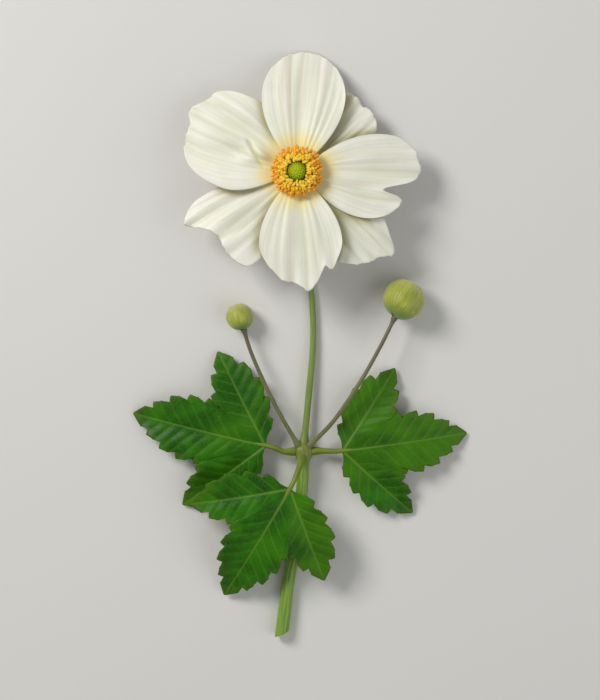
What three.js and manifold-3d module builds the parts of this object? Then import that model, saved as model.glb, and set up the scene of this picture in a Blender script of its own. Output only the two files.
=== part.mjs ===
// A Japanese anemone flower as picked, lying on a table: one open flower on a long stalk that bends under its
// head, and below it the whorl of three toothed leaves and two round buds that grow on the same stem.
// Millimetres, +Z up. +Y runs along the stem, from its cut end to the flower. Z = 0 is the table.
import * as THREE from "three";
import { mergeVertices } from "three/addons/utils/BufferGeometryUtils.js";
import Module from "manifold-3d";

const wasm = await Module();
wasm.setup();

// Where the main pieces are. The flower's own frame starts in the ring of tepals, with +Z out of its face.
const FLOWER_AT = new THREE.Vector3(0, 0, 11);
const FLOWER_LEAN = 8; // degrees that the face leans away from the stem
const WHORL_AT = new THREE.Vector3(2, -84, 3.35);
const SEAT_GAP = 0.25; // every piece stands this far off the one that carries it
const SHORTEST_EDGE = 0.004; // shorter ones are cleaned away where bodies are joined

// Tepals. All follow one shallow dome, each in its own layer of it, so that they overlap and never cross.
const BLADE = 0.75; // thickness of a tepal or a leaf measured straight up, and at least 0.6 where it slopes
const LAYER_STEP = 1.02;
const TEPAL_ROOT = 2.7; // from the flower's axis
const CLAW_SHARE = 0.17; // a tepal's width at its root, as a share of its full width
const DOME_RISE = 0.16;
const DOME_FALL = 0.0072;
const DOME_LEAN = 0.0027; // the far side of the dome falls more, and the side over the stem less
// turn: degrees from +X. length: axis to tip. half: width to each side of that line, clockwise side first.
// shoulder: how far the outer corners fall back, as a share of length. blunt: 1.5 is pointed and 3 square.
// lobes: [side -1 to 1, height, width] of each point or notch in the outer edge. curl: how far the two long
// edges turn up, clockwise one first.
const TEPALS = [
  { turn: 85, length: 36, half: [12.2, 12.2], shoulder: 0.38, blunt: 2, skew: 0, layer: 2,
    lobes: [], curl: [1.5, 1.1] },
  { turn: 154, length: 34.5, half: [13.9, 13.9], shoulder: 0.45, blunt: 3, skew: -0.02, layer: 1,
    lobes: [[-0.2, 2, 0.2], [-0.6, -0.8, 0.12]], curl: [-0.3, 2.4] },
  { turn: 213, length: 31, half: [9.3, 15.5], shoulder: 0.18, blunt: 3.2, skew: -0.03, layer: 0,
    lobes: [[-0.58, 4.8, 0.38], [0.22, -1.2, 0.16]], curl: [-0.5, -0.9] },
  { turn: 273, length: 33.2, half: [12.1, 12.1], shoulder: 0.37, blunt: 1.7, skew: 0, layer: 2,
    lobes: [[0.16, 2.3, 0.17], [0.55, -2.2, 0.1], [0.74, 1, 0.1], [-0.5, 0.8, 0.12]], curl: [1.3, 1.4] },
  { turn: 312, length: 34.5, half: [10.6, 10.6], shoulder: 0.38, blunt: 1.9, skew: 0.05, layer: 0,
    lobes: [[0.5, 3.6, 0.25]], curl: [-0.8, -0.5] },
  { turn: 357, length: 34.2, half: [12.4, 12.4], shoulder: 0.34, blunt: 2.4, skew: 0.07, layer: 1,
    lobes: [[-0.3, -7.5, 0.14], [0.2, 2, 0.25], [0.62, 1, 0.14]], curl: [0.9, 1.5] },
  { turn: 46, length: 28.5, half: [9.6, 9.6], shoulder: 0.34, blunt: 2.6, skew: 0, layer: 0,
    lobes: [[0, -0.9, 0.16]], curl: [-0.5, -0.7] },
];
const TEPAL_COLUMNS = 14;
const TEPAL_ROWS = 8;

// The middle of the flower, as heights above the ring of tepals and radii from its axis
const RECEPTACLE_RADIUS = 2.42;
const RECEPTACLE_TOP = 3.15;
const COLLAR = { inner: 2.05, outer: 3.1, low: RECEPTACLE_TOP + SEAT_GAP, high: 4, sides: 24 };
const STAMENS = 76;
const GOLDEN_ANGLE = Math.PI * (3 - Math.sqrt(5));
const ANTHER_RING = { inner: 3.8, outer: 7.4, innerHeight: 7.5, outerHeight: 5.1 };
const ANTHER_HALF = new THREE.Vector3(1.05, 0.72, 0.55);
const FILAMENT_RADIUS = 0.32;
const CARPEL_BALL = { radius: 2.55, bump: 0.3, bumps: 44, bumpWidth: 0.2, detail: 6 };

// Stem and stalks: points of each centre line, then radii
const STEM_POINTS = [
  [-4.6, -140, 2.15], [-2.6, -124, 2.12], [0.4, -106, 2.45], [1.7, -92, 3.1], [2, -84, 3.35], [2, -81, 3.35],
];
const STEM_RADIUS = { cut: 2.15, top: 1.85, knot: 3, sides: 10, slant: 0.55 };
const FLOWER_STALK_POINTS = [
  [2, -80.75, 3.35], [3.4, -68, 2.5], [4.8, -50, 1.55], [3.8, -32, 1.08], [1.4, -18, 1], [0.2, -9.5, 1.02],
  [0, -5, 1.5], [0, -2, 3.3],
];
const FLOWER_STALK_RADIUS = { low: 1.15, neck: 0.95, sides: 8 };
const BUDS = [
  { name: "bud_large", stalk: "bud_stalk_long", radius: 6.2, at: [31.5, -38, 6.25], from: [48, 26],
    path: [[10.5, -74.5, 8.2], [18.5, -62.5, 9.4], [25, -51, 8.6]] },
  { name: "bud_small", stalk: "bud_stalk_short", radius: 4.1, at: [-17, -43.5, 4.15], from: [134, 22],
    path: [[-5, -72.5, 6.6], [-10.4, -61.5, 6.6], [-14, -53, 5.4]] },
];
const BUD_STALK_RADIUS = { low: 0.75, high: 0.62, sides: 7 };

// Leaves of the whorl. at: where the blade begins. turn: its direction. length: to its middle lobe's tip.
// from: degrees round the knot and above it where the leaf stalk starts. arch: the blade's slope at its base,
// then how it falls away along its length and towards its sides.
const LEAVES = [
  { name: "leaf_left", at: [-9.5, -82, 5.3], turn: 167, length: 39, from: [180, 8],
    arch: { slope: 0.06, along: 0.00398, across: 0.0066 } },
  { name: "leaf_right", at: [13.5, -83.5, 5.3], turn: 7, length: 36, from: [2, 8],
    arch: { slope: 0.06, along: 0.00455, across: 0.0077 } },
  { name: "leaf_upper", at: [-2.2, -94, 11.2], turn: 240, length: 38, from: [252, 52],
    arch: { slope: 0.12, along: 0.0091, across: 0.0042 } },
];
const SIDE_LOBE_TURN = 50;
const SIDE_LOBE_SHARE = 0.76;
const LOBE_NARROWNESS = 2.2;
const LOBE_POINT = 0.13; // how far each lobe's tip is drawn out
const LOBE_FOLD = 0.15; // how steeply a blade rises from the middle line of its nearest lobe
const BLADE_HALF_TURN = 88;
const BLADE_RINGS = [0.07, 0.45, 0.8, 1];
const NOTCH_TURN = 27.5; // where the middle and side lobes meet
const TOOTH = { high: 1.7, lean: 0.5, peak: 0.7 };
// plain: teeth are low this near a lobe's tip. long: how far the tip itself is drawn out.
const LOBE_TIP = { plain: 4.5, long: 1.5 };
// Each stretch of a blade's edge, clockwise side first: its degrees, its teeth, and whether it runs to a tip
const EDGE_STRETCHES = [
  { from: -BLADE_HALF_TURN, to: -SIDE_LOBE_TURN, teeth: 5, tipLast: true },
  { from: -SIDE_LOBE_TURN, to: -NOTCH_TURN, teeth: 3, tipLast: false },
  { from: -NOTCH_TURN, to: 0, teeth: 5, tipLast: true },
  { from: 0, to: NOTCH_TURN, teeth: 5, tipLast: false },
  { from: NOTCH_TURN, to: SIDE_LOBE_TURN, teeth: 3, tipLast: true },
  { from: SIDE_LOBE_TURN, to: BLADE_HALF_TURN, teeth: 5, tipLast: false },
];
const LEAF_STALK_RADIUS = { low: 1, high: 0.7, sides: 7 };

const WHITE = new THREE.MeshStandardMaterial({ color: 0xf1efe6, roughness: 0.6 });
const ORANGE = new THREE.MeshStandardMaterial({ color: 0xe8981c, roughness: 0.75 });
const CARPEL_GREEN = new THREE.MeshStandardMaterial({ color: 0x86a82a, roughness: 0.6 });
const STEM_GREEN = new THREE.MeshStandardMaterial({ color: 0x7d9c3c, roughness: 0.55 });
const STALK_BROWN = new THREE.MeshStandardMaterial({ color: 0x6b6a50, roughness: 0.6 });
const BUD_GREEN = new THREE.MeshStandardMaterial({ color: 0xa9b152, roughness: 0.7 });
const LEAF_GREEN = new THREE.MeshStandardMaterial({ color: 0x35600f, roughness: 0.5 });

const rad = THREE.MathUtils.degToRad;
const vec = (p) => new THREE.Vector3(...p);

function geometryOf(points, triangles) {
  const positions = points.flatMap((p) => [p.x, p.y, p.z]);
  const geometry = new THREE.BufferGeometry();
  geometry.setAttribute("position", new THREE.Float32BufferAttribute(positions, 3));
  geometry.setIndex(triangles);
  return geometry;
}

// A thin closed blade: surface(i, j) gives its middle, and both faces are split into the same triangles
function bladeGeometry(rows, columns, surface) {
  const points = [];
  for (const side of [0.5, -0.5])
    for (let i = 0; i <= rows; i++)
      for (let j = 0; j <= columns; j++)
        points.push(surface(i, j).add(new THREE.Vector3(0, 0, side * BLADE)));
  const top = (i, j) => i * (columns + 1) + j;
  const bottom = (i, j) => top(i, j) + (rows + 1) * (columns + 1);
  const triangles = [];
  for (let i = 0; i < rows; i++)
    for (let j = 0; j < columns; j++) {
      const corners = [[i, j], [i + 1, j], [i + 1, j + 1], [i, j + 1]];
      const [a, b, c, d] = corners.map((k) => top(...k));
      const [e, f, g, h] = corners.map((k) => bottom(...k));
      triangles.push(a, b, c, a, c, d, e, g, f, e, h, g);
    }
  const wall = (k, l) => {
    const [a, b, c, d] = [top(...k), bottom(...k), bottom(...l), top(...l)];
    triangles.push(a, b, c, a, c, d);
  };
  for (let i = 0; i < rows; i++) {
    wall([i, 0], [i + 1, 0]);
    wall([i + 1, columns], [i, columns]);
  }
  for (let j = 0; j < columns; j++) {
    wall([0, j + 1], [0, j]);
    wall([rows, j], [rows, j + 1]);
  }
  return geometryOf(points, triangles);
}

// A round bar along a curve. stations: [share of the curve's length, radius]. slant tips its first end
function barGeometry(curve, stations, sides, slant = 0) {
  const fine = 200;
  const frames = curve.computeFrenetFrames(fine);
  const points = [];
  stations.forEach(([share, radius], n) => {
    const k = Math.round(share * fine);
    const centre = curve.getPointAt(share);
    for (let s = 0; s < sides; s++) {
      const angle = (2 * Math.PI * (s + 0.5)) / sides;
      const out = frames.normals[k].clone().multiplyScalar(Math.cos(angle));
      out.addScaledVector(frames.binormals[k], Math.sin(angle));
      const point = centre.clone().addScaledVector(out, radius);
      if (n === 0) point.addScaledVector(frames.tangents[k], slant * radius * Math.cos(angle));
      points.push(point);
    }
  });
  const last = (stations.length - 1) * sides;
  points.push(curve.getPointAt(stations[0][0]), curve.getPointAt(stations.at(-1)[0]));
  const [firstCap, lastCap] = [points.length - 2, points.length - 1];
  const triangles = [];
  for (let s = 0; s < sides; s++) {
    const t = (s + 1) % sides;
    for (let row = 0; row < last; row += sides)
      triangles.push(row + s, row + t, row + sides + t, row + s, row + sides + t, row + sides + s);
    triangles.push(firstCap, t, s, lastCap, last + s, last + t);
  }
  return geometryOf(points, triangles);
}

// Evenly spaced stations from one share of a curve to another, with the radius changing evenly
function taper(from, to, count, low, high) {
  return Array.from({ length: count + 1 }, (_, k) => [
    from + ((to - from) * k) / count,
    low + ((high - low) * k) / count,
  ]);
}

// One closed body from several geometries that overlap
function fused(geometries) {
  const solids = geometries.map((geometry) => {
    const bare = new THREE.BufferGeometry().setAttribute("position", geometry.getAttribute("position"));
    if (geometry.index) bare.setIndex(geometry.index);
    const merged = mergeVertices(bare, 1e-4);
    return new wasm.Manifold(
      new wasm.Mesh({
        numProp: 3,
        vertProperties: new Float32Array(merged.attributes.position.array),
        triVerts: new Uint32Array(merged.index.array),
      }),
    );
  });
  const mesh = solids.reduce((all, one) => all.add(one)).simplify(SHORTEST_EDGE).getMesh();
  const geometry = new THREE.BufferGeometry();
  geometry.setAttribute("position", new THREE.BufferAttribute(mesh.vertProperties, 3));
  geometry.setIndex(new THREE.BufferAttribute(mesh.triVerts, 1));
  return geometry;
}

function named(name, geometry, material) {
  geometry.computeVertexNormals();
  const mesh = new THREE.Mesh(geometry, material);
  mesh.name = name;
  return mesh;
}

// Distance from the flower's axis to a tepal's outer edge, at side u from -1 to 1
function tepalReach(tepal, u) {
  const round = (1 - Math.abs(u) ** tepal.blunt) ** (1 / tepal.blunt);
  let reach = tepal.length * (1 - tepal.shoulder * (1 - round)) * (1 + tepal.skew * u);
  for (const [side, high, wide] of tepal.lobes) reach += high * Math.exp(-(((u - side) / wide) ** 2));
  return reach;
}

// A point of a tepal's middle surface, with +X along the tepal: u from -1 to 1 across, v from 0 to 1 outwards
function tepalPoint(tepal, u, v) {
  const side = u < 0 ? 0 : 1;
  const along = TEPAL_ROOT + v * (tepalReach(tepal, u) - TEPAL_ROOT);
  const width = CLAW_SHARE + (1 - CLAW_SHARE) * Math.sin((Math.PI / 2) * v ** 0.9);
  const across = u * tepal.half[side] * width;
  const radius = Math.hypot(along, across);
  const turn = rad(tepal.turn);
  const towardsFarSide = along * Math.sin(turn) + across * Math.cos(turn);
  const dome = radius * (DOME_RISE - DOME_FALL * radius - DOME_LEAN * towardsFarSide);
  const curl = tepal.curl[side] * Math.abs(u) ** 3 * v ** 1.5;
  return new THREE.Vector3(along, across, tepal.layer * LAYER_STEP + dome + curl);
}

function makeTepal(tepal, n) {
  const geometry = bladeGeometry(TEPAL_ROWS, TEPAL_COLUMNS, (i, j) => {
    const u = Math.sin((Math.PI / 2) * ((2 * j) / TEPAL_COLUMNS - 1));
    return tepalPoint(tepal, u, i / TEPAL_ROWS);
  });
  const mesh = named(`tepal_${n + 1}`, geometry, WHITE);
  mesh.rotation.z = rad(tepal.turn);
  return mesh;
}

// Stamens on a sunflower spiral, so that they fill their ring evenly, fused into the collar they grow from
function makeStamens() {
  const { inner, outer, low, high, sides } = COLLAR;
  const corners = [[inner, low], [outer, low], [outer, high], [inner, high], [inner, low]];
  const profile = corners.map(([r, z]) => new THREE.Vector2(r, z));
  const pieces = [new THREE.LatheGeometry(profile, sides).rotateX(Math.PI / 2)];
  const ring = ANTHER_RING;
  for (let n = 0; n < STAMENS; n++) {
    const share = (n + 0.5) / STAMENS;
    const reach = Math.sqrt(ring.inner ** 2 + share * (ring.outer ** 2 - ring.inner ** 2));
    const height = ring.innerHeight + share * (ring.outerHeight - ring.innerHeight);
    const angle = n * GOLDEN_ANGLE;
    const outward = new THREE.Vector3(Math.cos(angle), Math.sin(angle), 0);
    const foot = outward.clone().multiplyScalar(outer - 0.35 - 0.3 * (1 - share)).setZ(high - 0.3);
    const tip = outward.clone().multiplyScalar(reach).setZ(height);
    const line = new THREE.LineCurve3(foot, tip);
    pieces.push(barGeometry(line, [[0, FILAMENT_RADIUS], [1, FILAMENT_RADIUS * 0.8]], 3));
    const anther = new THREE.OctahedronGeometry(1).scale(...ANTHER_HALF.toArray());
    anther.rotateZ(angle).translate(tip.x, tip.y, tip.z);
    pieces.push(anther);
  }
  return named("stamens", fused(pieces), ORANGE);
}

// A ball of small carpels: each lattice point raises a round bump from the ball's surface
function makeCarpels() {
  const { radius, bump, bumps, bumpWidth, detail } = CARPEL_BALL;
  const centres = Array.from({ length: bumps }, (_, n) => {
    const z = 1 - (2 * (n + 0.5)) / bumps;
    const flat = Math.sqrt(1 - z * z);
    return new THREE.Vector3(flat * Math.cos(n * GOLDEN_ANGLE), flat * Math.sin(n * GOLDEN_ANGLE), z);
  });
  const geometry = new THREE.IcosahedronGeometry(1, detail);
  const position = geometry.getAttribute("position");
  for (let k = 0; k < position.count; k++) {
    const way = new THREE.Vector3().fromBufferAttribute(position, k).normalize();
    const nearest = Math.min(...centres.map((c) => c.distanceTo(way)));
    way.multiplyScalar(radius + bump * Math.exp(-((nearest / bumpWidth) ** 2)));
    position.setXYZ(k, way.x, way.y, way.z);
  }
  const mesh = named("carpels", geometry, CARPEL_GREEN);
  mesh.position.z = RECEPTACLE_TOP + SEAT_GAP + radius + bump;
  return mesh;
}

// The stalk runs along the table, bends up under the flower and widens into the receptacle that carries it
function makeFlowerStalk() {
  const axis = new THREE.Vector3(0, Math.sin(rad(FLOWER_LEAN)), Math.cos(rad(FLOWER_LEAN)));
  const onAxis = (height) => FLOWER_AT.clone().addScaledVector(axis, height);
  const points = [...FLOWER_STALK_POINTS.map(vec), onAxis(-5), onAxis(-2.5), onAxis(RECEPTACLE_TOP)];
  const curve = new THREE.CatmullRomCurve3(points, false, "centripetal");
  curve.arcLengthDivisions = 400;
  const length = curve.getLength();
  const below = (distance) => 1 - distance / length;
  const { low, neck, sides } = FLOWER_STALK_RADIUS;
  const stations = [
    ...taper(0, below(26), 9, low, neck),
    ...taper(below(23), below(7.2), 10, neck, neck),
    [below(RECEPTACLE_TOP + 2.2), neck * 1.15],
    [below(RECEPTACLE_TOP + 1.3), neck * 1.7],
    [below(RECEPTACLE_TOP + 0.6), RECEPTACLE_RADIUS * 0.93],
    [below(RECEPTACLE_TOP - 0.3), RECEPTACLE_RADIUS],
    [1, RECEPTACLE_RADIUS * 0.97],
  ];
  return named("flower_stalk", barGeometry(curve, stations, sides), STALK_BROWN);
}

// The main stem, from its slanting cut to the swollen knot that carries the whorl
function makeStem() {
  const curve = new THREE.CatmullRomCurve3(STEM_POINTS.map(vec), false, "centripetal");
  const { cut, top, knot, sides, slant } = STEM_RADIUS;
  const length = curve.getLength();
  const knotShare = (length - 3) / length;
  const stations = [...taper(0, knotShare - 0.07, 9, cut, top)];
  for (const step of [-0.04, -0.022, 0, 0.022, 0.037])
    stations.push([Math.min(knotShare + step, 1), knot * Math.sqrt(1 - (step / 0.05) ** 2)]);
  return named("stem", barGeometry(curve, stations, sides, slant), STEM_GREEN);
}

// Where a stalk starts on the knot: degrees round it from +X, and degrees above the level
function onKnot([round, above]) {
  const reach = STEM_RADIUS.knot + SEAT_GAP;
  const flat = reach * Math.cos(rad(above));
  const [x, y] = [flat * Math.cos(rad(round)), flat * Math.sin(rad(round))];
  return WHORL_AT.clone().add(new THREE.Vector3(x, y, reach * Math.sin(rad(above))));
}

function makeBudStalk(bud) {
  const centre = vec(bud.at);
  const last = vec(bud.path.at(-1));
  const seat = centre.clone().addScaledVector(last.clone().sub(centre).normalize(), bud.radius + SEAT_GAP);
  const points = [onKnot(bud.from), ...bud.path.map(vec), seat];
  const curve = new THREE.CatmullRomCurve3(points, false, "centripetal");
  const { low, high, sides } = BUD_STALK_RADIUS;
  return named(bud.stalk, barGeometry(curve, taper(0, 1, 14, low, high), sides), STALK_BROWN);
}

// A round bud of overlapping sepals: each of five sepals raises a soft ridge that twists towards the tip
function makeBud(bud) {
  const sepals = 5;
  const geometry = new THREE.SphereGeometry(1, 20, 12);
  const position = geometry.getAttribute("position");
  for (let k = 0; k < position.count; k++) {
    const way = new THREE.Vector3().fromBufferAttribute(position, k);
    const twist = Math.atan2(way.z, way.x) * sepals + 2.2 * way.y;
    const flat = Math.hypot(way.x, way.z);
    way.multiplyScalar(bud.radius * (0.965 + 0.03 * flat * Math.cos(twist)));
    position.setXYZ(k, way.x, way.y, way.z);
  }
  const bare = new THREE.BufferGeometry().setAttribute("position", position).setIndex(geometry.index);
  const mesh = named(bud.name, mergeVertices(bare, 1e-3), BUD_GREEN);
  const centre = vec(bud.at);
  const tipWay = centre.clone().sub(vec(bud.path.at(-1))).normalize();
  mesh.quaternion.setFromUnitVectors(new THREE.Vector3(0, 1, 0), tipWay);
  mesh.position.copy(centre);
  return mesh;
}

// A blade's edge without teeth: the furthest of three pointed lobes, at an angle in degrees from its axis
function leafReach(length, angle) {
  const lobes = [[0, 1], [SIDE_LOBE_TURN, SIDE_LOBE_SHARE], [-SIDE_LOBE_TURN, SIDE_LOBE_SHARE]];
  const reaches = lobes.map(([turn, share]) => {
    const off = rad(Math.min(Math.abs(angle - turn), 90 / LOBE_NARROWNESS));
    const point = 1 + LOBE_POINT * Math.exp(-((off / 0.09) ** 2));
    return (share * length * Math.cos(LOBE_NARROWNESS * off) * point) / (1 + LOBE_POINT);
  });
  return Math.max(...reaches, 0.08 * length);
}

function leafEdgePoint(length, angle) {
  const reach = leafReach(length, angle);
  return new THREE.Vector2(reach * Math.cos(rad(angle)), reach * Math.sin(rad(angle)));
}

// The points of a blade's edge, plain and toothed: evenly spaced along each stretch, with two to a tooth.
// Near a lobe's tip the teeth fade, and the tip itself goes on along the lobe's middle line.
function leafEdge(length) {
  const plain = [];
  const toothed = [];
  for (const { from, to, teeth, tipLast } of EDGE_STRETCHES) {
    const fine = Array.from({ length: 61 }, (_, k) => leafEdgePoint(length, from + ((to - from) * k) / 60));
    const run = [0];
    for (let k = 1; k < fine.length; k++) run.push(run[k - 1] + fine[k].distanceTo(fine[k - 1]));
    const at = (share) => {
      const distance = Math.min(share, 1) * run.at(-1);
      const k = Math.max(1, run.findIndex((r) => r >= distance - 1e-9));
      return fine[k - 1].clone().lerp(fine[k], (distance - run[k - 1]) / (run[k] - run[k - 1]));
    };
    const tipTurn = tipLast ? to : from;
    const lobeWay = new THREE.Vector2(Math.cos(rad(tipTurn)), Math.sin(rad(tipTurn)));
    for (let n = 0; n < teeth; n++) {
      const peak = tipLast ? TOOTH.peak : 1 - TOOTH.peak;
      const notch = at(n / teeth);
      const crest = at((n + peak) / teeth);
      const along = at((n + peak + 0.05) / teeth).sub(at((n + peak - 0.05) / teeth)).normalize();
      const out = new THREE.Vector2(along.y, -along.x);
      const toTip = Math.abs((n + peak) / teeth - (tipLast ? 1 : 0)) * run.at(-1);
      const fade = Math.min(1, run.at(-1) / teeth / 4) * THREE.MathUtils.smoothstep(toTip, 0, LOBE_TIP.plain);
      const high = TOOTH.high * fade;
      const lean = (tipLast ? 1 : -1) * TOOTH.lean * high;
      const isTip = n === 0 && !tipLast;
      plain.push(notch, crest);
      toothed.push(isTip ? notch.clone().addScaledVector(lobeWay, LOBE_TIP.long) : notch.clone());
      toothed.push(crest.clone().addScaledVector(out, high).addScaledVector(along, lean));
    }
  }
  plain.push(leafEdgePoint(length, BLADE_HALF_TURN));
  toothed.push(plain.at(-1));
  return { plain, toothed };
}

function makeLeaf(leaf) {
  const { plain, toothed } = leafEdge(leaf.length);
  const { slope, along, across } = leaf.arch;
  const height = (x, y) => {
    const angle = Math.atan2(y, x);
    const offLobe = Math.min(...[-1, 0, 1].map((side) => Math.abs(angle - side * rad(SIDE_LOBE_TURN))));
    return x * (slope - along * x) - across * y * y + LOBE_FOLD * Math.hypot(x, y) * Math.sin(offLobe);
  };
  const blade = bladeGeometry(BLADE_RINGS.length - 1, plain.length - 1, (i, j) => {
    const share = BLADE_RINGS[i];
    const edge = share === 1 ? toothed[j] : plain[j].clone().multiplyScalar(share);
    return new THREE.Vector3(edge.x, edge.y, height(edge.x, edge.y));
  });
  const at = vec(leaf.at);
  const upAxis = new THREE.Vector3(0, 0, 1);
  const start = onKnot(leaf.from).sub(at).applyAxisAngle(upAxis, -rad(leaf.turn));
  const outward = onKnot(leaf.from).sub(WHORL_AT).normalize().applyAxisAngle(upAxis, -rad(leaf.turn));
  const second = start.clone().addScaledVector(outward, 2.5);
  const end = new THREE.Vector3(3.2, 0, height(3.2, 0) - 0.1);
  const third = new THREE.Vector3(-2, 0, -0.25);
  const curve = new THREE.CatmullRomCurve3([start, second, third, end], false, "centripetal");
  const { low, high, sides } = LEAF_STALK_RADIUS;
  const stalk = barGeometry(curve, taper(0, 1, 7, low, high), sides);
  const mesh = named(leaf.name, fused([blade, stalk]), LEAF_GREEN);
  mesh.position.copy(at);
  mesh.rotation.z = rad(leaf.turn);
  return mesh;
}

const head = new THREE.Group();
head.position.copy(FLOWER_AT);
head.rotation.x = -rad(FLOWER_LEAN);
head.add(...TEPALS.map(makeTepal), makeStamens(), makeCarpels());

const picked = new THREE.Group();
picked.add(head, makeFlowerStalk(), makeStem());
picked.add(...BUDS.flatMap((bud) => [makeBudStalk(bud), makeBud(bud)]));
picked.add(...LEAVES.map(makeLeaf));

// The origin is on the table, under the middle of the whole flower
const box = new THREE.Box3().setFromObject(picked, true);
const middle = box.getCenter(new THREE.Vector3());
picked.position.set(-middle.x, -middle.y, -box.min.z);

const part = new THREE.Group();
part.add(picked);
part.updateMatrixWorld(true);

export default part;
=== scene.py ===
"""A Japanese anemone flower as picked, lying face up on a plain table.

The seven white tepals, the ring of stamens, the ball of carpels, the stalks, buds and toothed leaves are
surfaces worked out with numpy from the same dimensions as the solids that they dress. All lengths are
millimetres in the flower's working frame, apart from those of the studio. Its origin is under the open
flower, with +Y from the cut end of the stem to the flower and +Z up from the table.
"""

import math

import bpy
import numpy as np
from mathutils import Matrix, Vector


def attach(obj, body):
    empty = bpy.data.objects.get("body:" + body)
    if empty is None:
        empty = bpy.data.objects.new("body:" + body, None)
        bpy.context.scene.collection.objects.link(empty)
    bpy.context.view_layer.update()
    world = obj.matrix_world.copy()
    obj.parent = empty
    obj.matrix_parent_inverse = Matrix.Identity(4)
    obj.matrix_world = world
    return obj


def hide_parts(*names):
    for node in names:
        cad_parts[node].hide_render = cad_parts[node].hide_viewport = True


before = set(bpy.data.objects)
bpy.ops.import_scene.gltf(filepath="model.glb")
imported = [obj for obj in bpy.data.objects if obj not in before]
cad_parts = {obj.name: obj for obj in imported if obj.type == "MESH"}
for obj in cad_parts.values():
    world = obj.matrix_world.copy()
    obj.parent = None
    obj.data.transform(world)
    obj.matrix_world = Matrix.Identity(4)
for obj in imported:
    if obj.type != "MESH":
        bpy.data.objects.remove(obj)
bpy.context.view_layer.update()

MM = 0.001
GOLDEN_ANGLE = math.pi * (3 - math.sqrt(5))
UP = np.array([0.0, 0.0, 1.0])
LEFT = np.array([-1.0, 0.0, 0.0])
CURVE_STEPS = 60  # in each span of a curve, before its points are spaced evenly

# Where the main pieces are, as in the solids
FLOWER_AT = np.array([0.0, 0.0, 11.0])
FLOWER_LEAN = 8  # degrees, which bring the tip of the top tepal down
WHORL_AT = np.array([2.0, -84.0, 3.35])
SEAT_GAP = 0.25
SUNK = 0.9  # how deep the ends of stalks go into what they grow from
TO_ROW = np.array([-0.8792, 53.1633, -0.0764])  # from the working frame to that of the solids

# Tepals
LAYER_STEP = 1.02
TEPAL_ROOT = 2.7
TEPAL_SUNK = 0.02  # the share of a tepal that runs on into the receptacle
CLAW_SHARE = 0.17
DOME_RISE = 0.16
DOME_FALL = 0.0072
DOME_LEAN = 0.0027
TEPAL_THICK = 0.34
TEPAL_TAPER = (1.25, 0.75)  # the share of that thickness at the root and at the tip
TEPAL_RIM = 0.3  # how far in from its border a tepal has its full thickness
TEPAL_COLUMNS = 120
TEPAL_ROWS = 84
EDGE_WAVE = 0.15
EDGE_COUNTS = (5, 9, 14)
RUFFLE_COUNTS = (2.2, 3.7, 5.9)
PLEATS = 4.5  # from a tepal's middle to its side
PLEAT_HIGH = 0.085
VEINS = 5.5  # from a tepal's middle to its side
VEIN_WANDER = 0.012
VEIN_SUNK = 0.035
VEIN_RAISED = 0.05
HOLLOW_DEEP = 0.05  # the second difference of height at which a hollow has its full shade
CREASE_DEEP = 0.8
CREASE_WIDE = 0.75
CREASE_BOW = 0.12
SHADE_WIDE = 1.9  # how far the shade of a tepal reaches on the ones below it
SHADE_FROM = (4, 9)  # the distances from the flower's axis over which that shade starts
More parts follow.
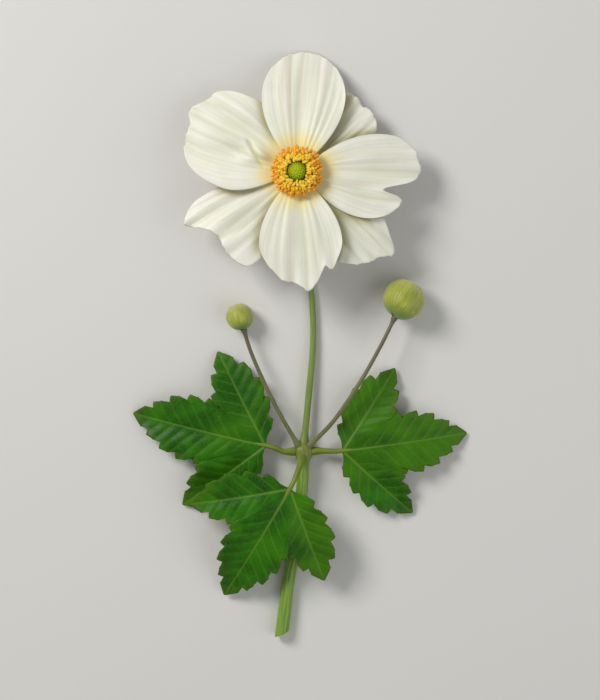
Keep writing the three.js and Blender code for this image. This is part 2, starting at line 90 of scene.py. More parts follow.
# As in the solids are turn, in degrees about the flower, length, the half width of each side, the shoulder
# and bluntness of the end, its skew, the layer from 0 at the bottom, lobes as (side, height, width), and the
# curl of each side. ruffle is the height of the soft waves in the outer edge, and lift how far the tip turns
# up. folds are dents and ridges as (side, place from 0 at the root to 1 at the tip, height, width, length).
# crease is the two ends of a groove, each as its distance along and across.
TEPALS = [
    dict(turn=85, length=36, half=(12.2, 12.2), shoulder=0.38, blunt=2, skew=0, layer=2, lobes=[],
         curl=(1.5, 1.1), ruffle=0.3, lift=-0.4,
         folds=[(0.05, 0.45, -0.75, 0.24, 0.35), (-0.5, 0.6, 0.3, 0.15, 0.3), (0.5, 0.55, 0.25, 0.15, 0.3)]),
    dict(turn=154, length=34.5, half=(13.9, 13.9), shoulder=0.45, blunt=3, skew=-0.02, layer=1,
         lobes=[(-0.2, 2, 0.2), (-0.6, -0.8, 0.12)], curl=(-0.3, 2.4), ruffle=0.7, lift=1.5,
         folds=[(-0.02, 0.29, 1.9, 0.18, 0.09), (0.3, 0.38, 1.3, 0.15, 0.1), (0.1, 0.46, -1.4, 0.22, 0.13),
                (-0.74, 0.6, 1.2, 0.11, 0.28), (-0.45, 0.58, -1, 0.14, 0.26), (0.2, 0.8, 0.5, 0.2, 0.15)],
         crease=((8.6, 3.4), (18.2, -2.8))),
    dict(turn=213, length=31, half=(9.3, 15.5), shoulder=0.18, blunt=3.2, skew=-0.03, layer=0,
         lobes=[(-0.58, 4.8, 0.38), (0.22, -1.2, 0.16)], curl=(-0.5, -0.9), ruffle=0.45, lift=0.3,
         folds=[(-0.45, 0.7, -0.7, 0.2, 0.3), (-0.1, 0.7, 0.5, 0.16, 0.3), (0.3, 0.75, -0.45, 0.16, 0.25)]),
    dict(turn=273, length=33.2, half=(12.1, 12.1), shoulder=0.37, blunt=1.7, skew=0, layer=2,
         lobes=[(0.16, 2.3, 0.17), (0.55, -2.2, 0.1), (0.74, 1, 0.1), (-0.5, 0.8, 0.12)],
         curl=(1.3, 1.4), ruffle=0.4, lift=0.5,
         folds=[(0.05, 0.45, -0.8, 0.2, 0.4), (-0.42, 0.5, 0.4, 0.13, 0.3), (0.45, 0.5, 0.4, 0.13, 0.3)]),
    dict(turn=312, length=34.5, half=(10.6, 10.6), shoulder=0.38, blunt=1.9, skew=0.05, layer=0,
         lobes=[(0.5, 3.6, 0.25)], curl=(-0.8, -0.5), ruffle=0.4, lift=-0.2,
         folds=[(0.1, 0.65, -0.6, 0.2, 0.3), (0.5, 0.75, 0.4, 0.16, 0.2)]),
    dict(turn=357, length=34.2, half=(12.4, 12.4), shoulder=0.34, blunt=2.4, skew=0.07, layer=1,
         lobes=[(-0.3, -7.5, 0.14), (0.2, 2, 0.25), (0.62, 1, 0.14)], curl=(0.9, 1.5), ruffle=0.5, lift=0.8,
         folds=[(-0.3, 0.65, -0.8, 0.12, 0.28), (0.15, 0.5, -0.6, 0.2, 0.3),
                (0.55, 0.65, 0.35, 0.14, 0.25)]),
    dict(turn=46, length=28.5, half=(9.6, 9.6), shoulder=0.34, blunt=2.6, skew=0, layer=0,
         lobes=[(0, -0.9, 0.16)], curl=(-0.5, -0.7), ruffle=0.3, lift=0,
         folds=[(0, 0.6, -0.5, 0.2, 0.3)]),
]

# The middle of the flower
RECEPTACLE_RADIUS = 2.42
RECEPTACLE_TOP = 3.15
RECEPTACLE_INSIDE = 0.96  # as INSIDE below, for the receptacle
COLLAR_HIGH = 4.0
COLLAR = dict(radius=2.6, half_wide=0.48, rise=0.35, half_high=0.5, around=64, section=10)
STAMENS = 260
STAMEN_DRAW = dict(reach=0.22, low=-0.45, high=0.4, turn=0.1)  # how far each is off its even place
FOOT_RADIUS = (2.4, 2.75)  # here and below, of the innermost and the outermost stamens
FOOT_SUNK = 0.5
ANTHER_RADIUS = (3.2, 7.3)
ANTHER_HEIGHT = (7.3, 5.0)
ANTHER_HALF = np.array([0.8, 0.45, 0.42])
ANTHER_GRID = (5, 8)
ANTHER_ENDS = (0.12, 0.88)  # the shares of its length at its first and last ring
ANTHER_GROOVE = dict(deep=0.3, wide=0.45)
ANTHER_DRAW = dict(tilt=(-0.6, 0.8), swing=0.8, size=(0.85, 1.1), tone=(0.25, 1))
ANTHER_RISE = 0.5  # how much further the innermost ones tilt up, in radians
FILAMENT_RADIUS = 0.12
FILAMENT_BOW = dict(up=0.55, inward=0.06)
CARPEL_RADIUS = 2.55
CARPEL_BUMP = 0.3
CARPELS = 150
CARPEL_GRID = (121, 200)
CARPEL_BELLS = ((0.72, 0.105), (0.28, 0.04))  # the share and the width of the bells that add up to a bump
CARPEL_EVEN = 0.25  # the height of a bump at the ball's radius
CARPEL_LOWER = 1.15  # how much longer the lower half of the ball is

# Stem and stalks. A grid is the rings along a bar and the points round it, and a swelling has its share of
# the bar's radius, its distance from the bar's end and its width.
RIB_WANDER = 0.25
STEM_RIBS = dict(ribs=11, depth=0.05, seed=8)
FLOWER_STALK_RIBS = dict(ribs=6, depth=0.06, seed=5)
BUD_STALK_RIBS = dict(ribs=5, depth=0.07)
LEAF_STALK_RIBS = dict(ribs=4, depth=0.1, seed=3)
FLOWER_STALK_SWELL = (0.35, 0.8, 1.8)
BUD_STALK_SWELLS = ((0.6, 0.6, 1.8), (0.8, 0.4, 1.3))
LEAF_STALK_SWELL = (0.5, 0.5, 2.2)
STEM_GRID = (360, 60)
FLOWER_STALK_GRID = (420, 28)
BUD_STALK_GRID = (260, 22)
LEAF_STALK_GRID = (130, 24)
STEM_POINTS = [(-4.6, -140, 2.15), (-2.6, -124, 2.12), (0.4, -106, 2.45), (1.7, -92, 3.1), (2, -84, 3.35),
               (2, -81, 3.35)]
STEM_RADIUS = dict(cut=2.15, top=1.85, knot=3.0)
STEM_SLANT = 0.55
STEM_INSIDE = 0.945  # as INSIDE below, for the stem
SLANT_FADE = 14
KNOT_FROM_END = 3
KNOT_HALF = 3.5
KNOT_BLEND = 0.35
CUT_RINGS = (0.04, 0.25, 0.5, 0.7, 0.84, 0.93, 0.98)
CUT_SUNK = 0.12
FLOWER_STALK_POINTS = [(2, -80.75, 3.35), (3.4, -68, 2.5), (4.8, -50, 1.55), (3.8, -32, 1.08), (1.4, -18, 1),
                       (0.2, -9.5, 1.02), (0, -5, 1.5), (0, -2, 3.3)]
FLOWER_STALK_RADIUS = (1.15, 0.95)  # where it starts and in its neck
FLOWER_STALK_DEEPER = 0.6  # how much further than SUNK it goes into the stem
NECK_LONG = 26
NECK_HEIGHTS = (-5, -2.5)  # places on the neck in the flower's frame
RECEPTACLE_HIGH = (3.2, 5.6)  # how far below its end the stalk widens
BUDS = [
    dict(name="bud_large", stalk="bud_stalk_long", radius=6.2, at=(31.5, -38, 6.25), start=(48, 26),
         path=[(10.5, -74.5, 8.2), (18.5, -62.5, 9.4), (25, -51, 8.6)]),
    dict(name="bud_small", stalk="bud_stalk_short", radius=4.1, at=(-17, -43.5, 4.15), start=(134, 22),
         path=[(-5, -72.5, 6.6), (-10.4, -61.5, 6.6), (-14, -53, 5.4)]),
]
BUD_STALK_RADIUS = (0.75, 0.62)
BUD_SEAT = 0.6  # how deep the stalk goes into the bud
BUD_GRID = (150, 240)
BUD_SHARES = dict(core=0.9, sepal=0.07, crown=0.02, rib=0.003)
BUD_RIBS = 34
SEPAL_TURNS = (10, 154, 298, 82, 226)  # the outermost first
SEPAL_LIFT = dict(first=-14, step=9)  # of a sepal's middle over the bud's equator, in degrees
SEPAL_REACH = 84  # from its middle to its edge, in degrees
INSIDE = 0.92  # a round bar that stays inside the many-sided one of the solids
FLOWER_STALK_HAIRS = dict(count=2200, long=0.42)
BUD_STALK_HAIRS = dict(count=1500, long=0.32)
BUD_HAIRS = dict(count=3200, long=0.4)
HAIR_THICK = 0.018
HAIR_LEAN = 0.3
HAIR_LENGTHS = (0.55, 1.1)
HAIR_LOWEST = 0.15
END_FULL = 0.98  # under 1, so that a closed end keeps a small last ring

# Leaves
LEAVES = [
    dict(name="leaf_left", at=(-9.5, -82, 5.3), turn=167, length=39, start=(180, 8),
         slope=0.06, along=0.00398, across=0.0066),
    dict(name="leaf_right", at=(13.5, -83.5, 5.3), turn=7, length=36, start=(2, 8),
         slope=0.06, along=0.00455, across=0.0077),
    dict(name="leaf_upper", at=(-2.2, -94, 11.2), turn=240, length=38, start=(252, 52),
         slope=0.12, along=0.0091, across=0.0042),
]
SIDE_LOBE_TURN = 50
SIDE_LOBE_SHARE = 0.76
LOBE_NARROWNESS = 2.2
LOBE_POINT = 0.13
LOBE_FOLD = 0.15
FOLD_ROUND = 0.03
BLADE_HALF_TURN = 88
NOTCH_TURN = 27.5
TOOTH_HIGH = 1.7
TOOTH_LEAN = 0.5
TOOTH_PEAK = 0.7
TOOTH_WIDE = 4  # a narrower tooth is lower in proportion
SMALL_TOOTH = dict(high=0.2, place=0.3, wide=0.07)  # a second tooth on each, as shares of it
EDGE_STEPS = 241  # in each stretch, before its points are spaced evenly
# Each stretch of a leaf's edge: from and to in degrees, its teeth, and whether it ends at its lobe's tip
EDGE_STRETCHES = [
    (-BLADE_HALF_TURN, -SIDE_LOBE_TURN, 5, True),
    (-SIDE_LOBE_TURN, -NOTCH_TURN, 3, False),
    (-NOTCH_TURN, 0, 5, True),
    (0, NOTCH_TURN, 5, False),
    (NOTCH_TURN, SIDE_LOBE_TURN, 3, True),
    (SIDE_LOBE_TURN, BLADE_HALF_TURN, 5, False),
]
TIP_PLAIN = 4.5  # how far from a lobe's tip its teeth reach their height
TIP_LONG = 1.5
LEAF_THICK = 0.3
LEAF_STALK_RADIUS = (1.0, 0.7)
LEAF_STALK_END = dict(reach=4.2, below=0.45)  # where it ends under the blade
LEAF_STEPS = 10  # columns to a tooth
LEAF_ROWS = 64
BLADE_START = 0.03  # the share of the way to its edge at which a blade starts
TEETH_START = 0.75  # and the share from which its rows take the shape of the teeth
LEAF_RIM = 0.35
LEAF_WAVE = 0.35
LEAF_RELIEF = dict(swell=0.2, main=0.16, side=0.09)
KEEL = dict(main=0.42, side=0.12)
MAIN_VEIN = dict(wide=0.38, taper=0.75, least=0.04)
SIDE_VEIN = dict(wide=0.17, pitch=3.6, ahead=0.95, bow=0.018, shift=0.35)

# The studio, in metres
TABLE_SIZE = 1.8
TABLE_LOW = 0.00005
LIGHTS_TARGET = (0, 0.02, 0)
LIGHTS = [
    dict(name="key", place=(-0.55, 0.5, 0.6), size=0.35, watts=6.3, colour=(1.0, 0.98, 0.95)),
    dict(name="fill", place=(0.7, -0.25, 0.6), size=0.9, watts=2.4, colour=(0.96, 0.98, 1.0)),
]
WORLD_COLOUR = (0.97, 0.97, 0.96, 1)
WORLD_LIGHT = 0.3
WORLD_SEEN = 0.72
CAMERA_AT = (0, 0.13, 0.93)
CAMERA_TARGET = (0, 0, 0.006)
CAMERA_LENS = 126  # millimetres
CAMERA_SENSOR = 28


def smooth_step(x, low, high):
    """0 below low, 1 above high, and the cubic 3t^2 - 2t^3 between them."""
    t = np.clip((x - low) / (high - low), 0, 1)
    return t * t * (3 - 2 * t)


def hump(x, centre, width):
    """A bell of height 1: exp(-((x - centre) / width)^2)."""
    return np.exp(-(((x - centre) / width) ** 2))


def soft_waves(x, seed, counts):
    """Sum of sines of x, one for each count of waves in a length of 2, with seeded phases, about 1 high."""
    phases = np.random.default_rng(seed).uniform(0, 2 * math.pi, len(counts))
    waves = [np.sin(math.pi * count * x + phase) for count, phase in zip(counts, phases)]
    return sum(waves) / len(counts) ** 0.5


def from_whole(x):
    """How far x is from the nearest whole number."""
    return np.abs(x - np.round(x))


def unit(vectors):
    """Vectors divided by their lengths."""
    return vectors / np.maximum(np.linalg.norm(vectors, axis=-1, keepdims=True), 1e-12)


def from_to(first, last, share):
    """An even change from first at share 0 to last at share 1."""
    return first + (last - first) * share


def cos_sin(degrees):
    """The cosine and the sine of angles in degrees."""
    angle = np.radians(degrees)
    return np.stack([np.cos(angle), np.sin(angle)], -1)


def round_angles(count):
    """Angles of points that are spaced evenly round a circle, in radians."""
    return np.arange(count) * 2 * math.pi / count


def quarter_round(distance, width):
    """The height of a quarter circle: 0 on a border, and 1 from width inwards."""
    return np.sqrt(1 - (1 - np.clip(distance / width, 0, 1)) ** 2)


def from_head(points):
    """From the flower's own frame to the working frame: leant about X, then moved to the flower's place."""
    c, s = cos_sin(FLOWER_LEAN)
    x, y, z = np.moveaxis(points, -1, 0)
    return np.stack([x, c * y + s * z, c * z - s * y], -1) + FLOWER_AT


def turned_flat(points, degrees):
    """Points turned about Z."""
    c, s = cos_sin(degrees)
    x, y, z = np.moveaxis(points, -1, 0)
    return np.stack([c * x - s * y, s * x + c * y, z], -1)


def add_piece(name, part, material, node):
    """A mesh object at the origin from a part's points in the working frame, its faces and its marks, shaded
    smooth. Every mark is an attribute with a number or a vector for each point. It rides on the root body
    and stands for its node."""
    points, faces, marks = part
    mesh = bpy.data.meshes.new(name)
    mesh.from_pydata(((points + TO_ROW) * MM).tolist(), [], [f for group in faces for f in group.tolist()])
    mesh.validate()
    for mark, values in marks.items():
        kind, field = ("FLOAT", "value") if values.ndim == 1 else ("FLOAT_VECTOR", "vector")
        layer = mesh.attributes.new(mark, kind, "POINT")
        layer.data.foreach_set(field, np.ascontiguousarray(values, np.float32).ravel())
    mesh.polygons.foreach_set("use_smooth", np.ones(len(mesh.polygons), bool))
    mesh.materials.append(material)
    piece = bpy.data.objects.new(name, mesh)
    bpy.context.collection.objects.link(piece)
    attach(piece, "root")
    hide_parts(node)


def quads_of(index, wrap=False):
    """The quads between neighbouring rows and columns of a grid of point numbers."""
    if wrap:
        index = np.concatenate([index, index[..., :1]], -1)
    corners = index[..., :-1, :-1], index[..., 1:, :-1], index[..., 1:, 1:], index[..., :-1, 1:]
    return np.stack(corners, -1).reshape(-1, 4)


def over_faces(above, below):
    """Values for a blade's points: the whole grid of its top, and the bottom's without the shared border."""
    inner = below[1:-1, 1:-1]
    return np.concatenate([grid.reshape(-1, *grid.shape[2:]) for grid in (above, inner)])


def closed_blade(middle, above, below, marks):
    """A thin blade from a grid of its middle surface, and grids of how far along its normals its top and its
    bottom lie from it. The two share the points of their border, so it is closed with no wall. A normal is
    the cross product of the grid's steps between rows and between columns. Each mark is a grid for the top
    and one for the bottom."""
    rows, columns = middle.shape[:2]
    normal = unit(np.cross(np.gradient(middle, axis=0), np.gradient(middle, axis=1)))
    points = over_faces(middle + normal * above[..., None], middle - normal * below[..., None])
    over = np.arange(rows * columns).reshape(rows, columns)
    under = over.copy()
    inner = (rows - 2) * (columns - 2)
    under[1:-1, 1:-1] = rows * columns + np.arange(inner).reshape(rows - 2, columns - 2)
    faces = [quads_of(over), quads_of(under)[:, ::-1]]
    return points, faces, {mark: over_faces(*grids) for mark, grids in marks.items()}


def with_middles(values):
    """Values of rings' points (body, ring, point), and the means of each body's first and last ring."""
    each = values.reshape(-1, *values.shape[3:])
    return np.concatenate([each, values[:, 0].mean(1), values[:, -1].mean(1)])


def closed_rings(rings, marks):
    """The part that closed bodies make, from their rings (body, ring, point, xyz) and the marks of those
    points. Each body's first and last ring are closed onto their middles."""
    bodies, count, sides = rings.shape[:3]
    number = np.arange(bodies * count * sides).reshape(bodies, count, sides)
    starts = bodies * count * sides + np.arange(bodies)[:, None]
    first, last = number[:, 0], number[:, -1]
    start_caps = np.stack([first, np.roll(first, -1, 1), np.broadcast_to(starts, first.shape)], -1)
    end_caps = np.stack([np.roll(last, -1, 1), last, np.broadcast_to(starts + bodies, last.shape)], -1)
    faces = [quads_of(number, True), start_caps.reshape(-1, 3), end_caps.reshape(-1, 3)]
    return with_middles(rings), faces, {mark: with_middles(values) for mark, values in marks.items()}


def one_body(rings, marks):
    """The part that a single closed body makes."""
    return closed_rings(rings[None], {mark: values[None] for mark, values in marks.items()})


def join(*parts):
    """One part from several, each of which has points, faces and marks. A mark that one lacks is 0 on it."""
    shapes = {mark: values.shape[1:] for _, _, marks in parts for mark, values in marks.items()}
    starts = np.cumsum([0] + [len(points) for points, _, _ in parts])
    faces = [group + start for (_, groups, _), start in zip(parts, starts) for group in groups]
    marks = {mark: np.concatenate([marks.get(mark, np.zeros((len(points), *shape)))
                                   for points, _, marks in parts])
             for mark, shape in shapes.items()}
    return np.concatenate([points for points, _, _ in parts]), faces, marks


def hairs(rings, ways, marks, picked, long, seed):
    """A thin three-sided hair on each picked point of the rings, with its base sunk a little and its tip at
    root + long * way, where way leans by a seeded random amount. Hairs whose tip would reach into the table
    are left out."""
    rng = np.random.default_rng(seed)
    roots, ways = rings[picked], ways[picked]
    lean = unit(ways + rng.normal(0, HAIR_LEAN, roots.shape))
    tips = roots + lean * (long * rng.uniform(*HAIR_LENGTHS, len(roots)))[:, None]
    kept = tips[:, 2] > HAIR_LOWEST
    roots, ways, tips = roots[kept], ways[kept], tips[kept]
    aslant = [0.31, 0.22, 0.92]
    side = unit(np.cross(ways, aslant))
    other = np.cross(ways, side)
    angle = round_angles(3)[:, None]
    base = roots[:, None] - ways[:, None] * HAIR_THICK
    base = base + HAIR_THICK * (np.cos(angle) * side[:, None] + np.sin(angle) * other[:, None])
    points = np.concatenate([base, tips[:, None]], 1).reshape(-1, 3)
    corners = np.array([[0, 2, 1], [0, 1, 3], [1, 2, 3], [2, 0, 3]])
    faces = (4 * np.arange(len(roots))[:, None, None] + corners).reshape(-1, 3)
    spread = {mark: np.repeat(values[picked][kept], 4, 0) for mark, values in marks.items()}
    return points, [faces], {**spread, "hair": np.ones(len(points))}


def along_line(line, share):
    """Points at those shares of the length of a line that is given by many points, and its length."""
    run = np.concatenate([[0], np.cumsum(np.linalg.norm(np.diff(line, axis=0), axis=1))])
    return np.stack([np.interp(share * run[-1], run, axis) for axis in line.T], -1), run[-1]


def curve_through(points, count):
    """Points evenly spaced along the centripetal Catmull-Rom curve through the given ones, and the distance
    run to each. Every span is the cubic whose slopes come from its neighbours, spaced by the square root of
    their distance."""
    p = np.array(points, float)
    p = np.concatenate([[2 * p[0] - p[1]], p, [2 * p[-1] - p[-2]]])
    a, b, c, d = p[:-3, None], p[1:-2, None], p[2:-1, None], p[3:, None]
    gap = np.linalg.norm(np.diff(p, axis=0), axis=1)[:, None, None] ** 0.5
    ab, bc, cd = gap[:-2], gap[1:-1], gap[2:]
    start = ((b - a) / ab - (c - a) / (ab + bc) + (c - b) / bc) * bc
    end = ((c - b) / bc - (d - b) / (bc + cd) + (d - c) / cd) * bc
    t = np.linspace(0, 1, CURVE_STEPS, endpoint=False)[:, None]
    fine = b + start * t + (3 * (c - b) - 2 * start - end) * t**2 + (2 * (b - c) + start + end) * t**3
    share = np.linspace(0, 1, count)
    path, length = along_line(np.concatenate([fine.reshape(-1, 3), p[-2:-1]]), share)
    return path, share * length


def bar_rings(path, radius, around, level, ribs, depth, seed):
    """Rings of a bar: path + radius * (1 - depth * (1 - cos(ribs * a)) / 2) * (cos a * side + sin a * up),
    where side is the path's direction crossed with level, and the angle of the ribs wanders softly."""
    ahead = unit(np.gradient(path, axis=0))
    side = unit(np.cross(ahead, level))
    up = np.cross(side, ahead)
    angle = round_angles(around)
    out = np.cos(angle)[:, None] * side[:, None] + np.sin(angle)[:, None] * up[:, None]
    wander = RIB_WANDER * soft_waves(np.linspace(0, 1, len(path)), seed, (3, 5))[:, None]
    ribbed = radius[:, None] * (1 - depth * (1 - np.cos(ribs * (angle + wander))) / 2)
    return path[:, None] + ribbed[..., None] * out


def rounded_ends(run, radius, start, end):
    """A radius that closes in a quarter circle over its first and last stretch, given in millimetres. A
    stretch of 0 leaves that end square."""
    for stretch, from_end in ((start, run), (end, run[-1] - run)):
        if stretch:
            radius = radius * np.sqrt(1 - END_FULL * (1 - np.clip(from_end / stretch, 0, 1)) ** 2)
    return radius


def tepal_reach(t, u):
    """From the axis to a tepal's outer edge: length * (1 - shoulder * (1 - (1 - |u|^blunt)^(1/blunt))),
    made longer towards one side by the skew, plus a bell for each lobe and a fine uneven edge."""
    rounded = (1 - np.abs(u) ** t["blunt"]) ** (1 / t["blunt"])
    reach = t["length"] * (1 - t["shoulder"] * (1 - rounded)) * (1 + t["skew"] * u)
    for side, high, wide in t["lobes"]:
        reach = reach + high * hump(u, side, wide)
    return reach - EDGE_WAVE * (1 - soft_waves(u, t["turn"], EDGE_COUNTS)) * (1 - u**4)


def tepal_half(t, side, v):
    """Half a tepal's width on that side of it, which grows from the claw as a quarter sine of v^0.9."""
    return np.where(side < 0, *t["half"]) * (CLAW_SHARE + (1 - CLAW_SHARE) * np.sin(math.pi / 2 * v**0.9))


def shade_of(over, place):
    """1 on what lies under tepal over, and beside it a bell of the distance to its border. The border next
    to a place is found in a few rounds, each of which works out v from u and then u from v."""
    along, across = np.moveaxis(turned_flat(place, -over["turn"]), -1, 0)[:2]
    u = np.sign(across)
    for _ in range(4):
        reach = tepal_reach(over, u)
        half = tepal_half(over, across, np.clip((along - TEPAL_ROOT) / (reach - TEPAL_ROOT), 0, 1))
        u = np.clip(across / half, -1, 1)
    outside = np.maximum(np.abs(across) - half, along - reach)
    return hump(np.maximum(outside, 0), 0, SHADE_WIDE) * smooth_step(along, *SHADE_FROM)


def crease_of(t, along, across):
    """A bell of the distance to the bowed line of a tepal's crease, which fades as a half sine to the ends
    of that line. It is 0 on a tepal without one."""
    if "crease" not in t:
        return np.zeros_like(along)
    start, end = np.array(t["crease"])
    long = math.dist(start, end)
    ahead = (end - start) / long
    run = (along - start[0]) * ahead[0] + (across - start[1]) * ahead[1]
    off = (across - start[1]) * ahead[0] - (along - start[0]) * ahead[1]
    bow = CREASE_BOW * run * (1 - run / long)
    return np.sin(math.pi * np.clip(run / long, 0, 1)) * hump(off, bow, CREASE_WIDE)


def tepal_pleats(t, u, v):
    """Pleats that run outwards: a cosine of |u|^1.1, uneven from place to place, faded at root and tip."""
    uneven = 0.75 + 0.5 * soft_waves(u + 0.3 * v, t["turn"] + 2, (1.3, 2.1))
    pleats = np.cos(2 * math.pi * PLEATS * np.abs(u) ** 1.1) * PLEAT_HIGH * uneven
    return pleats * smooth_step(v, 0.05, 0.3) * (1 - smooth_step(v, 0.7, 1))


def tepal_surface(t, u, v):
    """A tepal's middle surface. Across it is u times its half width, and outwards v times its reach. Its
    height is its layer, plus the dome r * (rise - fall * r - lean * y), plus the curl of each side,
    |u|^3 v^1.5, and then the tip's lift and soft waves, the folds, the pleats and the crease."""
    outward = np.maximum(v, 0)
    across = u * tepal_half(t, u, outward)
    along = TEPAL_ROOT + v * (tepal_reach(t, u) - TEPAL_ROOT)
    radius = np.hypot(along, across)
    c, s = cos_sin(t["turn"])
    far = along * s + across * c
    high = t["layer"] * LAYER_STEP + radius * (DOME_RISE - DOME_FALL * radius - DOME_LEAN * far)
    high = high + np.where(u < 0, *t["curl"]) * np.abs(u) ** 3 * outward**1.5
    middle = 1 - np.abs(u) ** 3
    high = high + t["lift"] * v**5 * middle
    high = high + t["ruffle"] * v**4 * soft_waves(u, t["turn"] + 1, RUFFLE_COUNTS) * (0.35 + 0.65 * middle)
    for side, place, rise, wide, long in t["folds"]:
        high = high + rise * hump(u, side, wide) * hump(v, place, long) * smooth_step(v, 0, 0.2)
    high = high + tepal_pleats(t, u, v) - CREASE_DEEP * crease_of(t, along, across)
    return np.stack([along, across, high], -1)


def tepal_veins(u, v):
    """1 on fine veins that fan from the claw and fork once towards the edge, 0 between them."""
    across = (u + VEIN_WANDER * np.sin(9 * v + 7 * u)) * VEINS
    trunk, twigs = from_whole(across), from_whole(2 * across)
    fine = np.maximum(hump(trunk, 0, 0.1), 0.7 * hump(twigs, 0, 0.16) * smooth_step(v, 0.35, 0.6))
    return fine * (1 - smooth_step(v, 0.8, 0.97))


def hollows(high):
    """The sum of a grid of heights' second differences both ways: above 0 in hollows, below it on ridges."""
    return sum(np.gradient(np.gradient(high, axis=axis), axis=axis) for axis in (0, 1))


def tepal_marks(number, t, u, v, middle, veins):
    """The marks of a tepal's points: how far outward they are, its heart, where shade is painted in the
    hollows of its surface, under the tepals over it and along its crease, streaks that run outwards, its
    veins and its underside."""
    zero = np.zeros_like(u)
    streaks = np.stack([u * 6, v * 1.3, zero + number * 5], -1)
    heart = (1 - u**2) ** 1.5 * hump(v, 0.6, 0.32)
    hollow_shade = np.clip(hollows(middle[..., 2]) / HOLLOW_DEEP, 0, 1)
    place = turned_flat(middle, t["turn"])
    shade = sum(shade_of(over, place) for over in TEPALS if over["layer"] > t["layer"]) + zero
    return {
        "outward": (v, v),
        "heart": (heart, heart),
        "hollow_shade": (hollow_shade, zero),
        "shade": (np.minimum(shade, 1), zero),
        "crease": (crease_of(t, middle[..., 0], middle[..., 1]), zero),
        "streaks": (streaks, streaks),
        "vein": (veins, veins),
        "under": (zero, zero + 1),
    }


def make_tepal(number, t, material):
    """One tepal: its middle surface moved half its thickness along its normal to each side, with veins
    raised on the outer, lower face. The thickness runs out in a quarter round at the border."""
    s = np.linspace(-1, 1, TEPAL_COLUMNS + 1)
    u, v = np.meshgrid(np.sin(math.pi / 2 * s), np.linspace(-TEPAL_SUNK, 1, TEPAL_ROWS + 1))
    middle = tepal_surface(t, u, v)
    half = np.where(u < 0, *t["half"])
    to_border = np.minimum((1 - np.abs(u)) * half, np.minimum(1 - v, v + TEPAL_SUNK) * t["length"])
    rim = quarter_round(to_border, TEPAL_RIM)
    thick = TEPAL_THICK * from_to(*TEPAL_TAPER, v) * rim / 2
    veins = tepal_veins(u, v)
    above, below = thick - VEIN_SUNK * veins * rim, thick + VEIN_RAISED * veins * rim
    points, faces, marks = closed_blade(middle, above, below, tepal_marks(number, t, u, v, middle, veins))
    name = f"tepal_{number}"
    part = from_head(turned_flat(points, t["turn"])), faces, marks
    add_piece(name + "_petal", part, material, name)


def ball_ways(rings, columns):
    """Directions on a grid over a ball, ring by ring from its bottom to its top, without the two poles."""
    a = (np.arange(1, rings) / rings * math.pi)[:, None]
    b = -round_angles(columns)
    return np.stack([np.sin(a) * np.cos(b), np.sin(a) * np.sin(b), -np.cos(a) + 0 * b], -1)


def stamen_places():
    """Feet and tips of the stamens on a sunflower spiral, in the flower's frame, a little uneven by seed.
    The tip's distance is the square root of an even change of its square from the inner to the outer one."""
    rng = np.random.default_rng(41)
    n = np.arange(STAMENS)
    share = (n + 0.5) / STAMENS
    (inner, outer), draw = ANTHER_RADIUS, STAMEN_DRAW
    reach = np.sqrt(from_to(inner**2, outer**2, share))
    reach = reach + rng.uniform(-draw["reach"], draw["reach"], STAMENS)
    high = from_to(*ANTHER_HEIGHT, share) + rng.uniform(draw["low"], draw["high"], STAMENS)
    angle = n * GOLDEN_ANGLE + rng.uniform(-draw["turn"], draw["turn"], STAMENS)
    outward = np.stack([np.cos(angle), np.sin(angle), np.zeros(STAMENS)], -1)
    foot = outward * from_to(*FOOT_RADIUS, share)[:, None] + UP * (COLLAR_HIGH - FOOT_SUNK)
    return foot, outward * reach[:, None] + UP * high[:, None], outward, share


def make_filaments(foot, tip, outward, share):
    """Thin four-sided bars from foot to tip on lines that bow upward as half a sine."""
    t = np.linspace(0, 1, 4)[None, :, None]
    bow = UP * FILAMENT_BOW["up"] - outward * FILAMENT_BOW["inward"]
    line = foot[:, None] + (tip - foot)[:, None] * t + bow[:, None] * np.sin(math.pi * t)
    angle = round_angles(4)[:, None]
    sideways = np.cross(UP, outward)[:, None, None]
    upward = unit(UP * 0.6 - outward)[:, None, None]
    rings = line[:, :, None] + FILAMENT_RADIUS * (np.cos(angle) * sideways - np.sin(angle) * upward)
    spread = share[:, None, None] + np.zeros(rings.shape[:3])
    return closed_rings(rings, {"share": spread, "tone": 0 * spread})


def make_anthers(tip, outward, share):
    """Ellipsoids, each pinched into two lobes by a groove along its top, where its radius falls by a bell of
    the cosine of the angle round it. Seeded draws tilt, swing and size them."""
    rng = np.random.default_rng(42)
    along, around = ANTHER_GRID
    a = np.linspace(*ANTHER_ENDS, along)[:, None] * math.pi
    b = round_angles(around)
    groove = ANTHER_GROOVE["deep"] * hump(np.cos(b), 0, ANTHER_GROOVE["wide"]) * (np.sin(b) > 0)
    round_it = np.sin(a) * (1 - groove)
    shape = np.stack([np.cos(a) + 0 * b, round_it * np.cos(b), round_it * np.sin(b)], -1)
    tilt = rng.uniform(*ANTHER_DRAW["tilt"], STAMENS) - ANTHER_RISE * (1 - share)
    swing = rng.uniform(-ANTHER_DRAW["swing"], ANTHER_DRAW["swing"], STAMENS)
    long_way = outward * np.cos(swing)[:, None] + np.cross(UP, outward) * np.sin(swing)[:, None]
    long_way = unit(long_way * np.cos(tilt)[:, None] - UP * np.sin(tilt)[:, None])
    wide_way = unit(np.cross(UP, long_way))
    axes = np.stack([long_way, wide_way, np.cross(long_way, wide_way)], 1)
    size = ANTHER_HALF * rng.uniform(*ANTHER_DRAW["size"], STAMENS)[:, None]
    rings = tip[:, None, None] + np.einsum("rsk,nk,nkx->nrsx", shape, size, axes)
    tone = rng.uniform(*ANTHER_DRAW["tone"], STAMENS)[:, None, None] + np.zeros(rings.shape[:3])
    return closed_rings(rings, {"share": share[:, None, None] + 0 * tone, "tone": tone})


